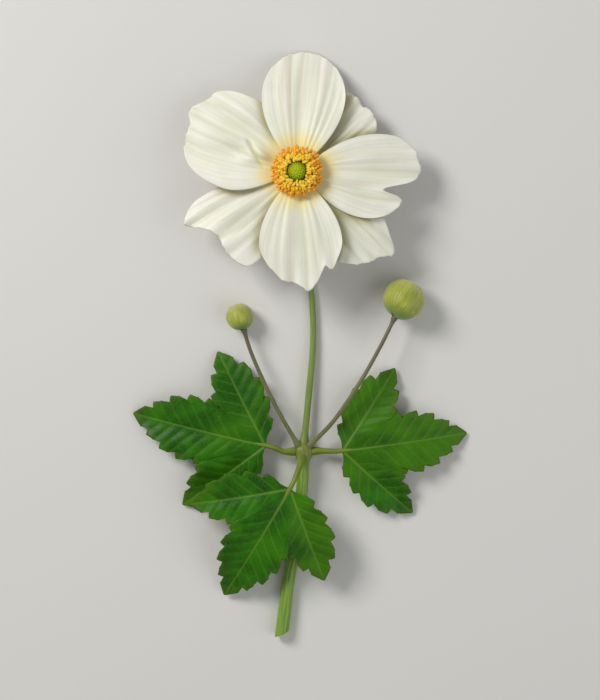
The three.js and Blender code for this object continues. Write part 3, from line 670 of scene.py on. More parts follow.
def make_collar():
    """The ring that the filaments grow from: a small oval section carried round the flower's axis."""
    turns, sides = COLLAR["around"], COLLAR["section"]
    around, section = round_angles(turns)[:, None], round_angles(sides)
    radius = COLLAR["radius"] + COLLAR["half_wide"] * np.cos(section)
    high = RECEPTACLE_TOP + COLLAR["rise"] + COLLAR["half_high"] * np.sin(section)
    points = np.stack([radius * np.cos(around), radius * np.sin(around), high + 0 * around], -1)
    number = np.arange(turns * sides).reshape(turns, sides)
    return points.reshape(-1, 3), [quads_of(np.concatenate([number, number[:1]]), True)], {}


def make_stamens(material):
    """The crowd of stamens on its collar."""
    foot, tip, outward, share = stamen_places()
    parts = make_collar(), make_filaments(foot, tip, outward, share), make_anthers(tip, outward, share)
    points, faces, marks = join(*parts)
    add_piece("stamen_ring", (from_head(points), faces, marks), material, "stamens")


def make_carpels(material):
    """A ball on a grid of turns and heights. Each point of a sunflower lattice raises a small pointed bump:
    radius + bump * (bell of the distance to the nearest lattice point, with a sharper one on its top)."""
    n = np.arange(CARPELS)
    z = 1 - 2 * (n + 0.5) / CARPELS
    flat = np.sqrt(1 - z * z)
    centres = np.stack([flat * np.cos(n * GOLDEN_ANGLE), flat * np.sin(n * GOLDEN_ANGLE), z])
    way = ball_ways(*CARPEL_GRID)
    nearest = np.sqrt(np.maximum(2 - 2 * (way @ centres).max(-1), 0))
    bump = sum(share * hump(nearest, 0, wide) for share, wide in CARPEL_BELLS)
    rings = way * (CARPEL_RADIUS + CARPEL_BUMP * (bump - CARPEL_EVEN))[..., None]
    rings[..., 2] *= np.where(rings[..., 2] < 0, CARPEL_LOWER, 1)
    rings = rings + UP * (RECEPTACLE_TOP + SEAT_GAP + CARPEL_RADIUS + CARPEL_BUMP)
    part = one_body(from_head(rings), {"bump": bump, "high": way[..., 2] * 0.5 + 0.5})
    add_piece("carpel_ball", part, material, "carpels")


def bar_marks(path, rings, run):
    """For each point of a bar: the share of its length, and its place if the bar were straight, which is
    its two distances from the middle line and the distance run, in millimetres."""
    angle = round_angles(rings.shape[1])
    away = np.linalg.norm(rings - path[:, None], axis=-1)
    straight = np.stack([away * np.cos(angle), away * np.sin(angle), run[:, None] + 0 * away], -1)
    return {"run": (run / run[-1])[:, None] + 0 * away, "straight": straight}


def swelling(run, share, place, wide):
    """A bell of that share of a bar's radius, at a distance from one of its ends."""
    return share * hump(run, place, wide)


def hairy_bar(path, rings, run, count, long, seed):
    """A bar closed at both ends, with hairs on points of it that are drawn at random but even along it."""
    marks = bar_marks(path, rings, run)
    rng = np.random.default_rng(seed)
    picked = rng.integers(6, len(rings) - 6, count), rng.integers(0, rings.shape[1], count)
    ways = unit(rings - path[:, None])
    return join(one_body(rings, marks), hairs(rings, ways, marks, picked, long, seed + 1))


def make_flower_stalk(material):
    """The flower's stalk along the table and up its neck, widening into the receptacle as a smooth step."""
    c, s = cos_sin(FLOWER_LEAN)
    top = [FLOWER_AT + np.array([0, s, c]) * high for high in (*NECK_HEIGHTS, RECEPTACLE_TOP)]
    first = np.array(FLOWER_STALK_POINTS[0]) - np.array([0, SUNK + FLOWER_STALK_DEEPER, 0])
    count, around = FLOWER_STALK_GRID
    path, run = curve_through([first, *FLOWER_STALK_POINTS[1:], *top], count)
    radius = from_to(*FLOWER_STALK_RADIUS, np.clip(run / (run[-1] - NECK_LONG), 0, 1)) * INSIDE
    radius = radius * (1 + swelling(run, *FLOWER_STALK_SWELL))
    wider = RECEPTACLE_RADIUS * RECEPTACLE_INSIDE - FLOWER_STALK_RADIUS[1] * INSIDE
    radius = radius + wider * (1 - smooth_step(run[-1] - run, *RECEPTACLE_HIGH))
    rings = bar_rings(path, rounded_ends(run, radius, 0.5, 0.5), around, LEFT, **FLOWER_STALK_RIBS)
    part = hairy_bar(path, rings, run, **FLOWER_STALK_HAIRS, seed=51)
    add_piece("flower_stalk_skin", part, material, "flower_stalk")


def stem_radius(run):
    """The main stem's radius along it. It changes evenly, and swells into the knot as half an ellipse. The
    two blend as the logarithm of the sum of their exponentials."""
    knot_run = run[-1] - KNOT_FROM_END
    plain = from_to(STEM_RADIUS["cut"], STEM_RADIUS["top"], run / knot_run)
    knot = STEM_RADIUS["knot"] * np.sqrt(np.clip(1 - ((run - knot_run) / KNOT_HALF) ** 2, 0, 1))
    both = np.log(np.exp(plain / KNOT_BLEND) + np.exp(knot / KNOT_BLEND)) * KNOT_BLEND
    return rounded_ends(run, np.minimum(both, STEM_RADIUS["knot"]) * STEM_INSIDE, 0, 2.2)


def cut_face(ring, ahead, marks):
    """The rings of the cut face, which shrink from the stem's first ring to the pith and sink a little, and
    the stem's marks for them."""
    shares = np.array(CUT_RINGS)[:, None]
    centre = ring.mean(0)
    face = centre + (ring - centre) * shares[..., None] + ahead * (CUT_SUNK * (1 - shares[..., None]))
    marks = {mark: np.repeat(values[:1], len(CUT_RINGS), 0) for mark, values in marks.items()}
    return face, {**marks, "straight": marks["straight"] * shares[..., None], "cut": marks["cut"] + 1,
                  "spread": marks["spread"] + shares}


def make_stem(material):
    """The main stem: a ribbed bar with its knot. Its cut end slants: the rings near it are moved along the
    stem by the cosine of the angle round them."""
    count, around = STEM_GRID
    path, run = curve_through(STEM_POINTS, count)
    rings = bar_rings(path, stem_radius(run), around, UP, **STEM_RIBS)
    ahead = unit(path[1] - path[0])
    slant = (1 - smooth_step(run, 0, SLANT_FADE))[:, None] * np.cos(round_angles(around))
    rings = rings + ahead * (slant * STEM_SLANT * STEM_RADIUS["cut"])[..., None]
    zero = np.zeros(rings.shape[:2])
    marks = {**bar_marks(path, rings, run), "cut": zero, "spread": zero}
    face, face_marks = cut_face(rings[0], ahead, marks)
    marks = {mark: np.concatenate([face_marks[mark], values]) for mark, values in marks.items()}
    part = one_body(np.concatenate([face, rings]), marks)
    add_piece("stem_skin", part, material, "stem")


def way_at(turn, above):
    """The direction at a turn about Z and an angle above the level, both in degrees."""
    flat, high = cos_sin(above)
    return np.append(flat * cos_sin(turn), high)


def on_knot(start, deeper):
    """Where a stalk starts in the knot, from degrees round it and above the level, and the way out."""
    way = way_at(*start)
    return WHORL_AT + way * (STEM_RADIUS["knot"] + SEAT_GAP - deeper), way


def make_bud_stalk(bud, material):
    """A thin ribbed bar from inside the knot to inside the bud, wider at both of its ends."""
    centre, last = np.array(bud["at"]), np.array(bud["path"][-1])
    seat = centre + unit(last - centre) * (bud["radius"] - BUD_SEAT)
    count, around = BUD_STALK_GRID
    path, run = curve_through([on_knot(bud["start"], SUNK)[0], *bud["path"], seat], count)
    radius = from_to(*BUD_STALK_RADIUS, run / run[-1]) * INSIDE
    first, second = BUD_STALK_SWELLS
    radius = radius * (1 + swelling(run, *first) + swelling(run[-1] - run, *second))
    seed = int(bud["radius"])
    rings = bar_rings(path, rounded_ends(run, radius, 0.3, 0.3), around, UP, **BUD_STALK_RIBS, seed=seed)
    part = hairy_bar(path, rings, run, **BUD_STALK_HAIRS, seed=seed + 60)
    add_piece(bud["stalk"] + "_skin", part, material, bud["stalk"])


def sepal_tops(way):
    """Five sepals that overlap on a ball, each the cap within a wide angle of its own middle: how high the
    topmost one at a point lies, from 0 to 1, and how far the point is inside that one's edge. The way of
    each point is in the bud's frame, with its tip along +Z."""
    level, inside = np.zeros(way.shape[:2]), np.zeros(way.shape[:2])
    for place, turn in enumerate(SEPAL_TURNS):
        middle = way_at(turn, SEPAL_LIFT["first"] + SEPAL_LIFT["step"] * place)
        edge = math.radians(SEPAL_REACH) - np.arccos(np.clip(way @ middle, -1, 1))
        edge = edge + 0.03 * soft_waves(np.arctan2(way[..., 1], way[..., 0]) / math.pi, turn, (3, 5))
        high = (1 - place / len(SEPAL_TURNS)) * smooth_step(edge, 0, 0.07)
        inside = np.where(high > level, edge, inside)
        level = np.maximum(level, high)
    return level, inside


def down_places(seed):
    """Numbers of the rings and columns of points that are drawn evenly over a bud's ball."""
    rng = np.random.default_rng(seed)
    count, last = BUD_HAIRS["count"], BUD_GRID[0] - 1
    ring = np.clip((np.arccos(rng.uniform(-1, 1, count)) / math.pi * last).astype(int), 2, last - 2)
    return ring, rng.integers(0, BUD_GRID[1], count)


def make_bud(bud, material):
    """A ball of five overlapping silky sepals: radius * (core + sepal * level of the topmost sepal), fuller
    towards each sepal's middle, with fine ribs that run from the base to the tip, and down on it."""
    own = ball_ways(*BUD_GRID)
    level, inside = sepal_tops(own)
    round_it, high = np.arctan2(own[..., 1], own[..., 0]), own[..., 2]
    ribs = BUD_SHARES["rib"] * np.cos(BUD_RIBS * round_it + 2 * high) * (1 - high**2)
    crown = BUD_SHARES["crown"] * smooth_step(inside, 0, 0.9)
    radius = bud["radius"] * (BUD_SHARES["core"] + BUD_SHARES["sepal"] * level + crown + ribs)
    tip = unit(np.array(bud["at"]) - np.array(bud["path"][-1]))
    side = unit(np.cross(tip, UP))
    way = own @ np.stack([side, np.cross(tip, side), tip])
    rings = np.array(bud["at"]) + way * radius[..., None]
    straight = np.stack([5 * np.cos(round_it), 5 * np.sin(round_it), 5 * high], -1)
    marks = {"edge": smooth_step(inside, 0, 0.2), "high": high * 0.5 + 0.5, "straight": straight}
    seed = int(bud["radius"] * 10)
    ways = unit(way + 1.6 * tip)
    down = hairs(rings, ways, marks, down_places(seed), BUD_HAIRS["long"], seed + 1)
    part = join(one_body(rings, marks), down)
    add_piece(bud["name"] + "_sepals", part, material, bud["name"])


def leaf_reach(length, angle):
    """A blade's edge without teeth, from the base: the furthest of three lobes, each share * length *
    cos(narrowness * off) drawn out at its tip by a bell. Angles are in degrees."""
    reach = np.full_like(angle, 0.08 * length)
    for turn, share in ((0, 1), (SIDE_LOBE_TURN, SIDE_LOBE_SHARE), (-SIDE_LOBE_TURN, SIDE_LOBE_SHARE)):
        off = np.radians(np.minimum(np.abs(angle - turn), 90 / LOBE_NARROWNESS))
        point = (1 + LOBE_POINT * hump(off, 0, 0.09)) / (1 + LOBE_POINT)
        reach = np.maximum(reach, share * length * np.cos(LOBE_NARROWNESS * off) * point)
    return reach


def tooth_high(place):
    """A tooth's height at a place from 0 at its notch to 1 at the next: half a line and half a quarter sine
    up to its crest, with a small bell on it for a second tooth, and then a steep fall."""
    climb = np.clip(place / TOOTH_PEAK, 0, 1)
    rise = 0.5 * climb + 0.5 * np.sin(math.pi / 2 * climb)
    rise = rise + SMALL_TOOTH["high"] * hump(place, SMALL_TOOTH["place"], SMALL_TOOTH["wide"])
    fall = np.clip((1 - place) / (1 - TOOTH_PEAK), 0, 1)
    return rise * fall**0.85


def leaf_edge(length):
    """Points of a blade's plain edge, at even distances, and the step from each to the toothed edge. Teeth
    lean to their lobe's tip and fade near it, and the tip is drawn out by a bell."""
    plain, step = [], []
    for start, end, teeth, tip_last in EDGE_STRETCHES:
        angle = np.linspace(start, end, EDGE_STEPS)
        columns = teeth * LEAF_STEPS
        share = np.arange(columns + (end == BLADE_HALF_TURN)) / columns
        at, long = along_line(leaf_reach(length, angle)[:, None] * cos_sin(angle), share)
        ahead = unit(np.gradient(at, axis=0))
        out = np.stack([ahead[:, 1], -ahead[:, 0]], -1)
        place = share * teeth % 1
        high = TOOTH_HIGH * min(1, long / teeth / TOOTH_WIDE) * tooth_high(place if tip_last else 1 - place)
        tip, to_tip, lean = (end, 1 - share, TOOTH_LEAN) if tip_last else (start, share, -TOOTH_LEAN)
        high = (high * smooth_step(to_tip * long, 0, TIP_PLAIN))[:, None]
        point = TIP_LONG * hump(to_tip * long, 0, TIP_LONG)[:, None]
        plain.append(at)
        step.append((out + ahead * lean) * high + cos_sin(tip) * point)
    return np.concatenate(plain), np.concatenate(step)


def leaf_height(leaf, x, y):
    """Height of a blade over its base: x * (slope - along * x) - across * y^2, plus the fold of each lobe,
    which climbs with the sine of the angle from the nearest lobe's middle line."""
    angle = np.abs(np.arctan2(y, x))
    off = np.minimum(angle, np.abs(angle - np.radians(SIDE_LOBE_TURN)))
    off = np.sqrt(off**2 + FOLD_ROUND**2) - FOLD_ROUND
    arch = x * (leaf["slope"] - leaf["along"] * x) - leaf["across"] * y**2
    return arch + LOBE_FOLD * np.hypot(x, y) * np.sin(off)


def leaf_veins(length, x, y):
    """Masks of the middle vein of the nearest lobe, of its side veins that leave it forwards at about 45
    degrees, and of the swelling between them."""
    angle, run = np.arctan2(y, x), np.hypot(x, y)
    lobe = np.radians(SIDE_LOBE_TURN)
    off = angle - np.where(np.abs(angle) > lobe / 2, np.sign(angle) * lobe, 0)
    along, across = run * np.cos(off), run * np.sin(off)
    thin = 1 - MAIN_VEIN["taper"] * np.clip(run / length, 0, 1)
    main = hump(across, 0, MAIN_VEIN["wide"] * thin + MAIN_VEIN["least"])
    pitch, away = SIDE_VEIN["pitch"], np.abs(across)
    phase = (along - SIDE_VEIN["ahead"] * away + SIDE_VEIN["bow"] * across**2) / pitch
    near = from_whole(phase + SIDE_VEIN["shift"] * (across > 0)) * pitch * 0.7
    to_seam = run * np.sin(np.abs(np.abs(angle) - lobe / 2))
    clear = np.where(np.abs(angle) < lobe, smooth_step(to_seam, 0.1, 2.2), 1)
    side = hump(near, 0, SIDE_VEIN["wide"]) * smooth_step(away, 0, 0.6) * smooth_step(run, 2, 6)
    swell = 0.5 - 0.5 * np.cos(math.pi * near / (pitch * 0.35))
    return main, side * clear, swell * smooth_step(away, 0.3, 2.5) * smooth_step(run, 3, 9) * clear


def leaf_grid(leaf):
    """The share of the way to a blade's edge of each row, the points of its plain edge, and x and y of its
    grid: a fan of rows that take the shape of the teeth only near the edge."""
    plain, step = leaf_edge(leaf["length"])
    share = np.concatenate([np.linspace(BLADE_START, TEETH_START, LEAF_ROWS * 2 // 3, endpoint=False),
                            np.linspace(TEETH_START, 1, LEAF_ROWS // 3 + 1)])[:, None]
    out = np.clip((share - TEETH_START) / (1 - TEETH_START), 0, 1) ** 1.3
    flat = plain[None] * share[..., None] + step[None] * out[..., None]
    return share, plain, flat[..., 0], flat[..., 1]


def make_leaf(leaf, material):
    """One leaf: a blade folded along its lobes, with veins sunk in the top and raised below, whose thickness
    runs out in a quarter round at its border, and the leaf stalk, which runs into the underside."""
    share, plain, x, y = leaf_grid(leaf)
    main, side, swell = leaf_veins(leaf["length"], x, y)
    border = np.minimum(1 - share, share - BLADE_START) * np.hypot(plain[:, 0], plain[:, 1])[None]
    rim = quarter_round(border, LEAF_RIM)
    rim[:, 0] = rim[:, -1] = 0
    wave = LEAF_WAVE * soft_waves(np.linspace(-1, 1, x.shape[1]), leaf["turn"], (4, 7, 11)) * share**3
    relief = LEAF_RELIEF["swell"] * swell - LEAF_RELIEF["main"] * main - LEAF_RELIEF["side"] * side
    middle = np.stack([x, y, leaf_height(leaf, x, y) + relief * rim + np.maximum(wave, -0.2)], -1)
    keel = LEAF_THICK / 2 + KEEL["main"] * main * (1 - 0.7 * share) + KEEL["side"] * side
    zero = np.zeros_like(x)
    vein = np.maximum(main, 0.55 * side) * (1 - 0.45 * share)
    edge = smooth_step(share + zero, 0.9, 1)
    marks = {"vein": (vein, vein), "under": (zero, zero + 1), "edge": (edge, edge)}
    blade = closed_blade(middle, LEAF_THICK / 2 * rim, keel * rim, marks)
    points, faces, marks = join(blade, leaf_stalk(leaf))
    part = turned_flat(points, leaf["turn"]) + np.array(leaf["at"]), faces, marks
    add_piece(leaf["name"] + "_blade", part, material, leaf["name"])


def leaf_stalk(leaf):
    """The leaf stalk in the leaf's own frame: a bar from inside the knot that arches to the blade's base,
    with a wide sheath where it starts."""
    start, outward = on_knot(leaf["start"], SUNK)
    start = turned_flat(start - np.array(leaf["at"]), -leaf["turn"])
    outward = turned_flat(outward, -leaf["turn"])
    reach = LEAF_STALK_END["reach"]
    end = np.array([reach, 0, leaf_height(leaf, reach, 0) - LEAF_STALK_END["below"]])
    count, around = LEAF_STALK_GRID
    path, run = curve_through([start, start + outward * (2.5 + SUNK), (-2, 0, -0.3), end], count)
    radius = from_to(*LEAF_STALK_RADIUS, run / run[-1]) * INSIDE * (1 + swelling(run, *LEAF_STALK_SWELL))
    rings = bar_rings(path, rounded_ends(run, radius, 0.25, 3.5), around, UP, **LEAF_STALK_RIBS)
    return one_body(rings, {**bar_marks(path, rings, run), "stalk": np.ones(rings.shape[:2])})


class Finish:
    """A node material with its Principled shader, and short calls that add and link its nodes."""

    def __init__(self, name, roughness, **sockets):
        self.material = bpy.data.materials.new(name)
        self.material.use_nodes = True
        self.shader = self.material.node_tree.nodes["Principled BSDF"]
        self.shader.inputs["Roughness"].default_value = roughness
        for socket, value in sockets.items():
            self.shader.inputs[socket.replace("_", " ")].default_value = value

    def put(self, socket, value):
        """Links value if it is another node's output, and sets it if it is a number or a colour."""
        if isinstance(value, bpy.types.NodeSocket):
            self.material.node_tree.links.new(value, socket)
        else:
            socket.default_value = value

    def node(self, kind, inputs, **settings):
        """A new node of that kind with its settings, and its inputs by their name or number."""
        node = self.material.node_tree.nodes.new("ShaderNode" + kind)
        for setting, value in settings.items():
            setattr(node, setting, value)
        for socket, value in inputs.items():
            self.put(node.inputs[socket], value)
        return node

    def mark(self, name, output="Fac"):
        """The number, or with the output Vector the vector, that the mesh holds as that mark."""
        return self.node("Attribute", {}, attribute_name=name).outputs[output]

    def texture(self, kind, size, stretch, along, inputs, **settings):
        """A texture with features about size millimetres across, on Object coordinates times stretch. along
        names a vector mark, in millimetres, that is read in the place of Object coordinates."""
        place = self.mark(along, "Vector") if along else self.node("TexCoord", {}).outputs["Object"]
        mapping = self.node("Mapping", {"Vector": place, "Scale": stretch})
        scale = 1 / size if along else 1 / (size * MM)
        return self.node(kind, {"Vector": mapping.outputs["Vector"], "Scale": scale, **inputs}, **settings)

    def noise(self, size, detail=3, stretch=(1, 1, 1), along=None):
        """Soft noise from 0 to 1."""
        return self.texture("TexNoise", size, stretch, along, {"Detail": detail}).outputs["Fac"]

    def cloud(self, size, low, high, detail=3, stretch=(1, 1, 1), along=None):
        """The same noise, carried smoothly to 0 at low and to 1 at high."""
        return self.between(self.noise(size, detail, stretch, along), low, high)

    def cells(self, size, along=None):
        """Distance to the edges between cells, as in a net of fine veins."""
        edges = self.texture("TexVoronoi", size, (1, 1, 1), along, {}, feature="DISTANCE_TO_EDGE")
        return edges.outputs["Distance"]

    def between(self, value, low, high):
        """value carried smoothly to 0 at low and to 1 at high."""
        ends = {0: value, 1: low, 2: high, 3: 0.0, 4: 1.0}
        return self.node("MapRange", ends, interpolation_type="SMOOTHSTEP").outputs[0]

    def math(self, kind, a, b):
        """a and b put together by a Math node of that kind."""
        return self.node("Math", {0: a, 1: b}, operation=kind).outputs[0]

    def mix(self, share, a, b):
        """Colour a at share 0 and colour b at share 1."""
        return self.node("Mix", {0: share, 6: a, 7: b}, data_type="RGBA").outputs[2]

    def tint(self, colour, *tints):
        """colour taken, by each row of a share, a strength and another colour, towards that colour by the
        share times the strength."""
        for share, strength, other in tints:
            colour = self.mix(self.math("MULTIPLY", share, strength), colour, other)
        return colour

    def bump(self, height, distance, strength):
        """Surface relief of that height in millimetres, on top of any that is there already."""
        node = self.node("Bump", {"Height": height, "Distance": distance * MM, "Strength": strength})
        normal = self.shader.inputs["Normal"]
        if normal.is_linked:
            self.put(node.inputs["Normal"], normal.links[0].from_socket)
        self.put(normal, node.outputs["Normal"])

    def colour(self, value):
        """Makes value the shader's base colour."""
        self.put(self.shader.inputs["Base Color"], value)


def rgb(red, green, blue):
    """Linear colour from the 0 to 255 values of a screen, by the formula that screens share."""
    screen = np.array([red, green, blue]) / 255
    linear = np.where(screen <= 0.04045, screen / 12.92, ((screen + 0.055) / 1.055) ** 2.4)
    return (*linear.tolist(), 1.0)


def tepal_finish():
    """Silky white tepals: cream with long faint streaks of green and pink, yellow-green towards the ring,
    faint veins, and fine long cells in the relief. Shade is painted in their hollows, along the crease and
    beside the tepals that lie over them, and a warm reflection of the ring's orange is painted near the
    ring."""
    f = Finish("tepal_silk", 0.5, Subsurface_Weight=0.25, Subsurface_Scale=0.0012, Sheen_Weight=0.1,
               Subsurface_Radius=(1.0, 0.9, 0.7), Specular_IOR_Level=0.35)
    outward = f.mark("outward")
    white = f.tint(
        f.mix(f.cloud(8, 0.35, 0.65), rgb(248, 247, 234), rgb(240, 241, 224)),
        (f.mark("heart"), 0.5, rgb(224, 227, 204)),
        (f.cloud(1, 0.5, 0.72, 3, (1, 0.7, 1), "streaks"), 0.4, rgb(221, 224, 192)),
        (f.cloud(1.3, 0.52, 0.75, 2, (1.2, 0.6, 2.3), "streaks"), 0.4, rgb(236, 218, 214)),
        (f.mark("vein"), 0.3, rgb(219, 217, 190)),
        # Painted shade in the hollows of the surface.
        (f.mark("hollow_shade"), 0.4, rgb(204, 204, 172)),
        # Painted shade along the crease.
        (f.mark("crease"), 0.6, rgb(160, 154, 110)),
        (f.mark("shade"), 0.8, rgb(164, 160, 112)),
        (f.between(outward, 0.46, 0.12), 0.55, rgb(236, 233, 168)),
        # Painted reflection of the ring's orange on the tepals near it.
        (f.between(outward, 0.32, 0.16), 0.55, rgb(255, 224, 124)),
    )
    under = f.mix(f.cloud(5, 0.35, 0.7), rgb(232, 216, 216), rgb(236, 232, 224))
    f.colour(f.tint(white, (f.mark("under"), 0.75, under)))
    f.bump(f.noise(0.5, 2, (1, 0.12, 1), "streaks"), 0.05, 0.25)
    f.bump(f.noise(0.35, 2), 0.02, 0.4)
    return f.material


def stamen_finish():
    """Yellow filaments and powdery anthers, yellow orange near the middle and deep orange outside."""
    f = Finish("stamen_pollen", 0.75, Subsurface_Weight=0.08, Subsurface_Scale=0.0006, Sheen_Weight=0.1)
    tone = f.mark("tone")
    paler = f.between(tone, 0.3, 1.0)
    yellow = f.mix(paler, rgb(255, 204, 32), rgb(255, 228, 78))
    orange = f.mix(paler, rgb(244, 158, 14), rgb(255, 192, 36))
    anther = f.mix(f.between(f.mark("share"), 0.2, 0.75), yellow, orange)
    anther = f.mix(f.cloud(0.25, 0.45, 0.8), anther, rgb(226, 136, 14))
    f.colour(f.mix(f.between(tone, 0.05, 0.2), rgb(255, 218, 70), anther))
    f.bump(f.noise(0.12, 3), 0.04, 0.7)
    return f.material


def carpel_finish():
    """Green carpels: darker between the bumps, yellow-green and a little glossy on their tops."""
    f = Finish("carpel_green_skin", 0.5, Subsurface_Weight=0.1, Subsurface_Scale=0.0008,
               Specular_IOR_Level=0.25)
    f.colour(f.tint(
        f.mix(f.between(f.mark("bump"), 0.0, 0.7), rgb(104, 134, 0), rgb(172, 192, 4)),
        (f.between(f.mark("high"), 0.7, 1.0), 0.6, rgb(196, 204, 12)),
        (f.cloud(0.6, 0.4, 0.7, 2), 0.3, rgb(124, 150, 0)),
    ))
    f.bump(f.noise(0.15, 2), 0.03, 0.6)
    return f.material


def stem_finish():
    """Fresh green stem with long pale and dark streaks, brown purple at the knot, and a pale wet cut face
    with a green rind and a ring of darker bundles."""
    f = Finish("stem_rind", 0.42, Subsurface_Weight=0.06, Subsurface_Scale=0.001)
    flush = f.math("MULTIPLY", f.cloud(4, 0.5, 0.75, 2, (1, 1, 0.2), "straight"), 0.35)
    green = f.tint(
        f.mix(f.cloud(0.5, 0.35, 0.65, 3, (1, 1, 0.05), "straight"), rgb(104, 142, 40), rgb(136, 170, 66)),
        (f.cloud(0.3, 0.62, 0.75, 2, (1, 1, 0.3), "straight"), 0.35, rgb(92, 104, 44)),
        (f.math("MAXIMUM", f.between(f.mark("run"), 0.82, 0.97), flush), 0.55, rgb(116, 92, 58)),
    )
    spread = f.mark("spread")
    bundles = f.between(f.cells(0.55, "straight"), 0.12, 0.02)
    bundles = f.math("MULTIPLY", bundles, f.between(spread, 0.5, 0.8))
    pith = f.mix(f.between(spread, 0.1, 0.9), rgb(228, 230, 190), rgb(186, 206, 124))
    pith = f.tint(pith, (bundles, 0.7, rgb(120, 148, 58)))
    f.colour(f.mix(f.mark("cut"), green, pith))
    f.bump(f.noise(0.4, 3, (1, 1, 0.06), "straight"), 0.06, 0.5)
    return f.material


def stalk_finish(name, low, high, flush):
    """A thin downy stalk: its green along it from low to high, brown purple flushes and pale hairs."""
    f = Finish(name, 0.5, Subsurface_Weight=0.05, Subsurface_Scale=0.0008, Sheen_Weight=0.2)
    green = f.tint(
        f.mix(f.between(f.mark("run"), 0.1, 0.95), low, high),
        (f.cloud(0.4, 0.4, 0.7, 3, (1, 1, 0.06), "straight"), 0.5, rgb(108, 118, 58)),
        (f.cloud(5, 0.35, 0.7, 3, (1, 1, 0.3), "straight"), flush, rgb(84, 62, 60)),
    )
    f.colour(f.mix(f.mark("hair"), green, rgb(206, 208, 170)))
    f.bump(f.noise(0.25, 3, (1, 1, 0.2), "straight"), 0.03, 0.6)
    return f.material


def bud_finish():
    """Silky bud: yellow green with long paler streaks and pale down, darker along the edges where its
    sepals overlap and round its base."""
    f = Finish("bud_down", 0.55, Subsurface_Weight=0.12, Subsurface_Scale=0.001, Sheen_Weight=0.35)
    high = f.mark("high")
    green = f.tint(
        f.mix(f.cloud(0.4, 0.35, 0.65, 3, (1, 1, 0.14), "straight"), rgb(152, 162, 48), rgb(184, 188, 76)),
        (f.cloud(3.5, 0.4, 0.65, 2), 0.4, rgb(126, 148, 40)),
        (f.between(high, 0.4, 0.0), 1, rgb(106, 134, 36)),
        (f.between(f.mark("edge"), 0.5, 0.0), 0.55, rgb(104, 118, 34)),
        (f.between(high, 0.7, 1.0), 0.35, rgb(222, 208, 128)),
    )
    f.colour(f.mix(f.mark("hair"), green, rgb(226, 226, 182)))
    f.bump(f.noise(0.3, 4), 0.05, 0.7)
    return f.material


def leaf_finish():
    """Dark green leaf, cloudy, with paler veins, a finely netted relief and a lighter grey-green back. The
    leaf stalk is lighter with a brown flush."""
    f = Finish("leaf_skin", 0.44, Specular_IOR_Level=0.2)
    cloud, vein = f.cloud(7, 0.3, 0.7, 4), f.mark("vein")
    green = f.tint(
        f.mix(cloud, rgb(22, 78, 0), rgb(46, 114, 0)),
        (f.cloud(28, 0.42, 0.62, 2), 0.4, rgb(80, 128, 4)),
        (f.between(f.cells(1.1), 0.1, 0.0), 0.2, rgb(80, 138, 22)),
        (vein, 0.55, rgb(128, 166, 62)),
        (f.mark("edge"), 0.3, rgb(92, 106, 32)),
    )
    back = f.mix(cloud, rgb(104, 132, 62), rgb(124, 150, 78))
    green = f.mix(f.mark("under"), green, f.tint(back, (vein, 0.7, rgb(160, 178, 106))))
    brown = f.cloud(2, 0.4, 0.75, 3, (1, 1, 0.3), "straight")
    f.colour(f.mix(f.mark("stalk"), green, f.mix(brown, rgb(116, 142, 48), rgb(112, 88, 58))))
    f.bump(f.cells(1.1), 0.1, 0.35)
    f.bump(f.noise(0.3, 3), 0.03, 0.6)
    return f.material


def table_finish():
    """Matt pale table with the faintest cloud in it."""
    f = Finish("table_matt", 0.85)
    f.colour(f.mix(f.noise(120, 2), rgb(221, 220, 216), rgb(226, 225, 222)))
    return f.material


def make_table():
    """A wide flat table under the flower."""
    bpy.ops.mesh.primitive_plane_add(size=TABLE_SIZE, location=(0, 0, -TABLE_LOW))
    table = bpy.context.object
    table.name = "table"
    table.data.materials.append(table_finish())


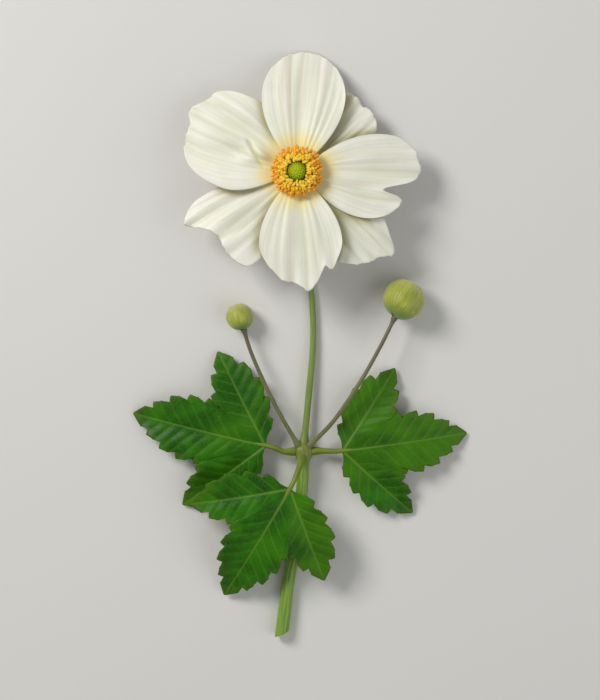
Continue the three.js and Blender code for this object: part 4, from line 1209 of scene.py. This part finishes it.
def add_light(name, place, size, watts, colour):
    """A square soft light that faces the middle of the table."""
    light = bpy.data.lights.new(name, "AREA")
    light.size, light.energy, light.color = size, watts, colour
    lamp = bpy.data.objects.new(name, light)
    lamp.location = place
    lamp.rotation_euler = (Vector(LIGHTS_TARGET) - lamp.location).to_track_quat("-Z", "Y").to_euler()
    bpy.context.collection.objects.link(lamp)


def make_studio():
    """Soft light from the upper left, a weaker one from the right, and a pale world, which is brighter
    where it is seen behind the table than as a light."""
    for light in LIGHTS:
        add_light(**light)
    world = bpy.data.worlds.new("studio")
    world.use_nodes = True
    nodes, links = world.node_tree.nodes, world.node_tree.links
    background, strength = nodes["Background"], nodes.new("ShaderNodeMapRange")
    background.inputs["Color"].default_value = WORLD_COLOUR
    strength.inputs["To Min"].default_value = WORLD_LIGHT
    strength.inputs["To Max"].default_value = WORLD_SEEN
    links.new(nodes.new("ShaderNodeLightPath").outputs["Is Camera Ray"], strength.inputs["Value"])
    links.new(strength.outputs["Result"], background.inputs["Strength"])
    bpy.context.scene.world = world
    bpy.context.scene.view_settings.view_transform = "Standard"


def make_camera():
    """Looks down on the lying flower, square to its face, with the flower at the top of the picture."""
    place = Vector(CAMERA_AT)
    back = (place - Vector(CAMERA_TARGET)).normalized()
    right = Vector((1, 0, 0))
    upward = back.cross(right)
    camera = bpy.data.objects.new("camera", bpy.data.cameras.new("camera"))
    camera.matrix_world = Matrix.Translation(place) @ Matrix((right, upward, back)).transposed().to_4x4()
    camera.data.lens = CAMERA_LENS
    camera.data.sensor_width = CAMERA_SENSOR
    bpy.context.collection.objects.link(camera)
    bpy.context.scene.camera = camera


make_camera()
make_studio()
make_table()
tepal_material = tepal_finish()
for place, tepal in enumerate(TEPALS):
    make_tepal(place + 1, tepal, tepal_material)
make_stamens(stamen_finish())
make_carpels(carpel_finish())
make_stem(stem_finish())
make_flower_stalk(stalk_finish("flower_stalk_rind", rgb(124, 152, 58), rgb(140, 172, 76), 0.32))
bud_stalk_material = stalk_finish("bud_stalk_rind", rgb(112, 120, 66), rgb(98, 92, 66), 0.7)
bud_material = bud_finish()
for bud in BUDS:
    make_bud_stalk(bud, bud_stalk_material)
    make_bud(bud, bud_material)
leaf_material = leaf_finish()
for leaf in LEAVES:
    make_leaf(leaf, leaf_material)
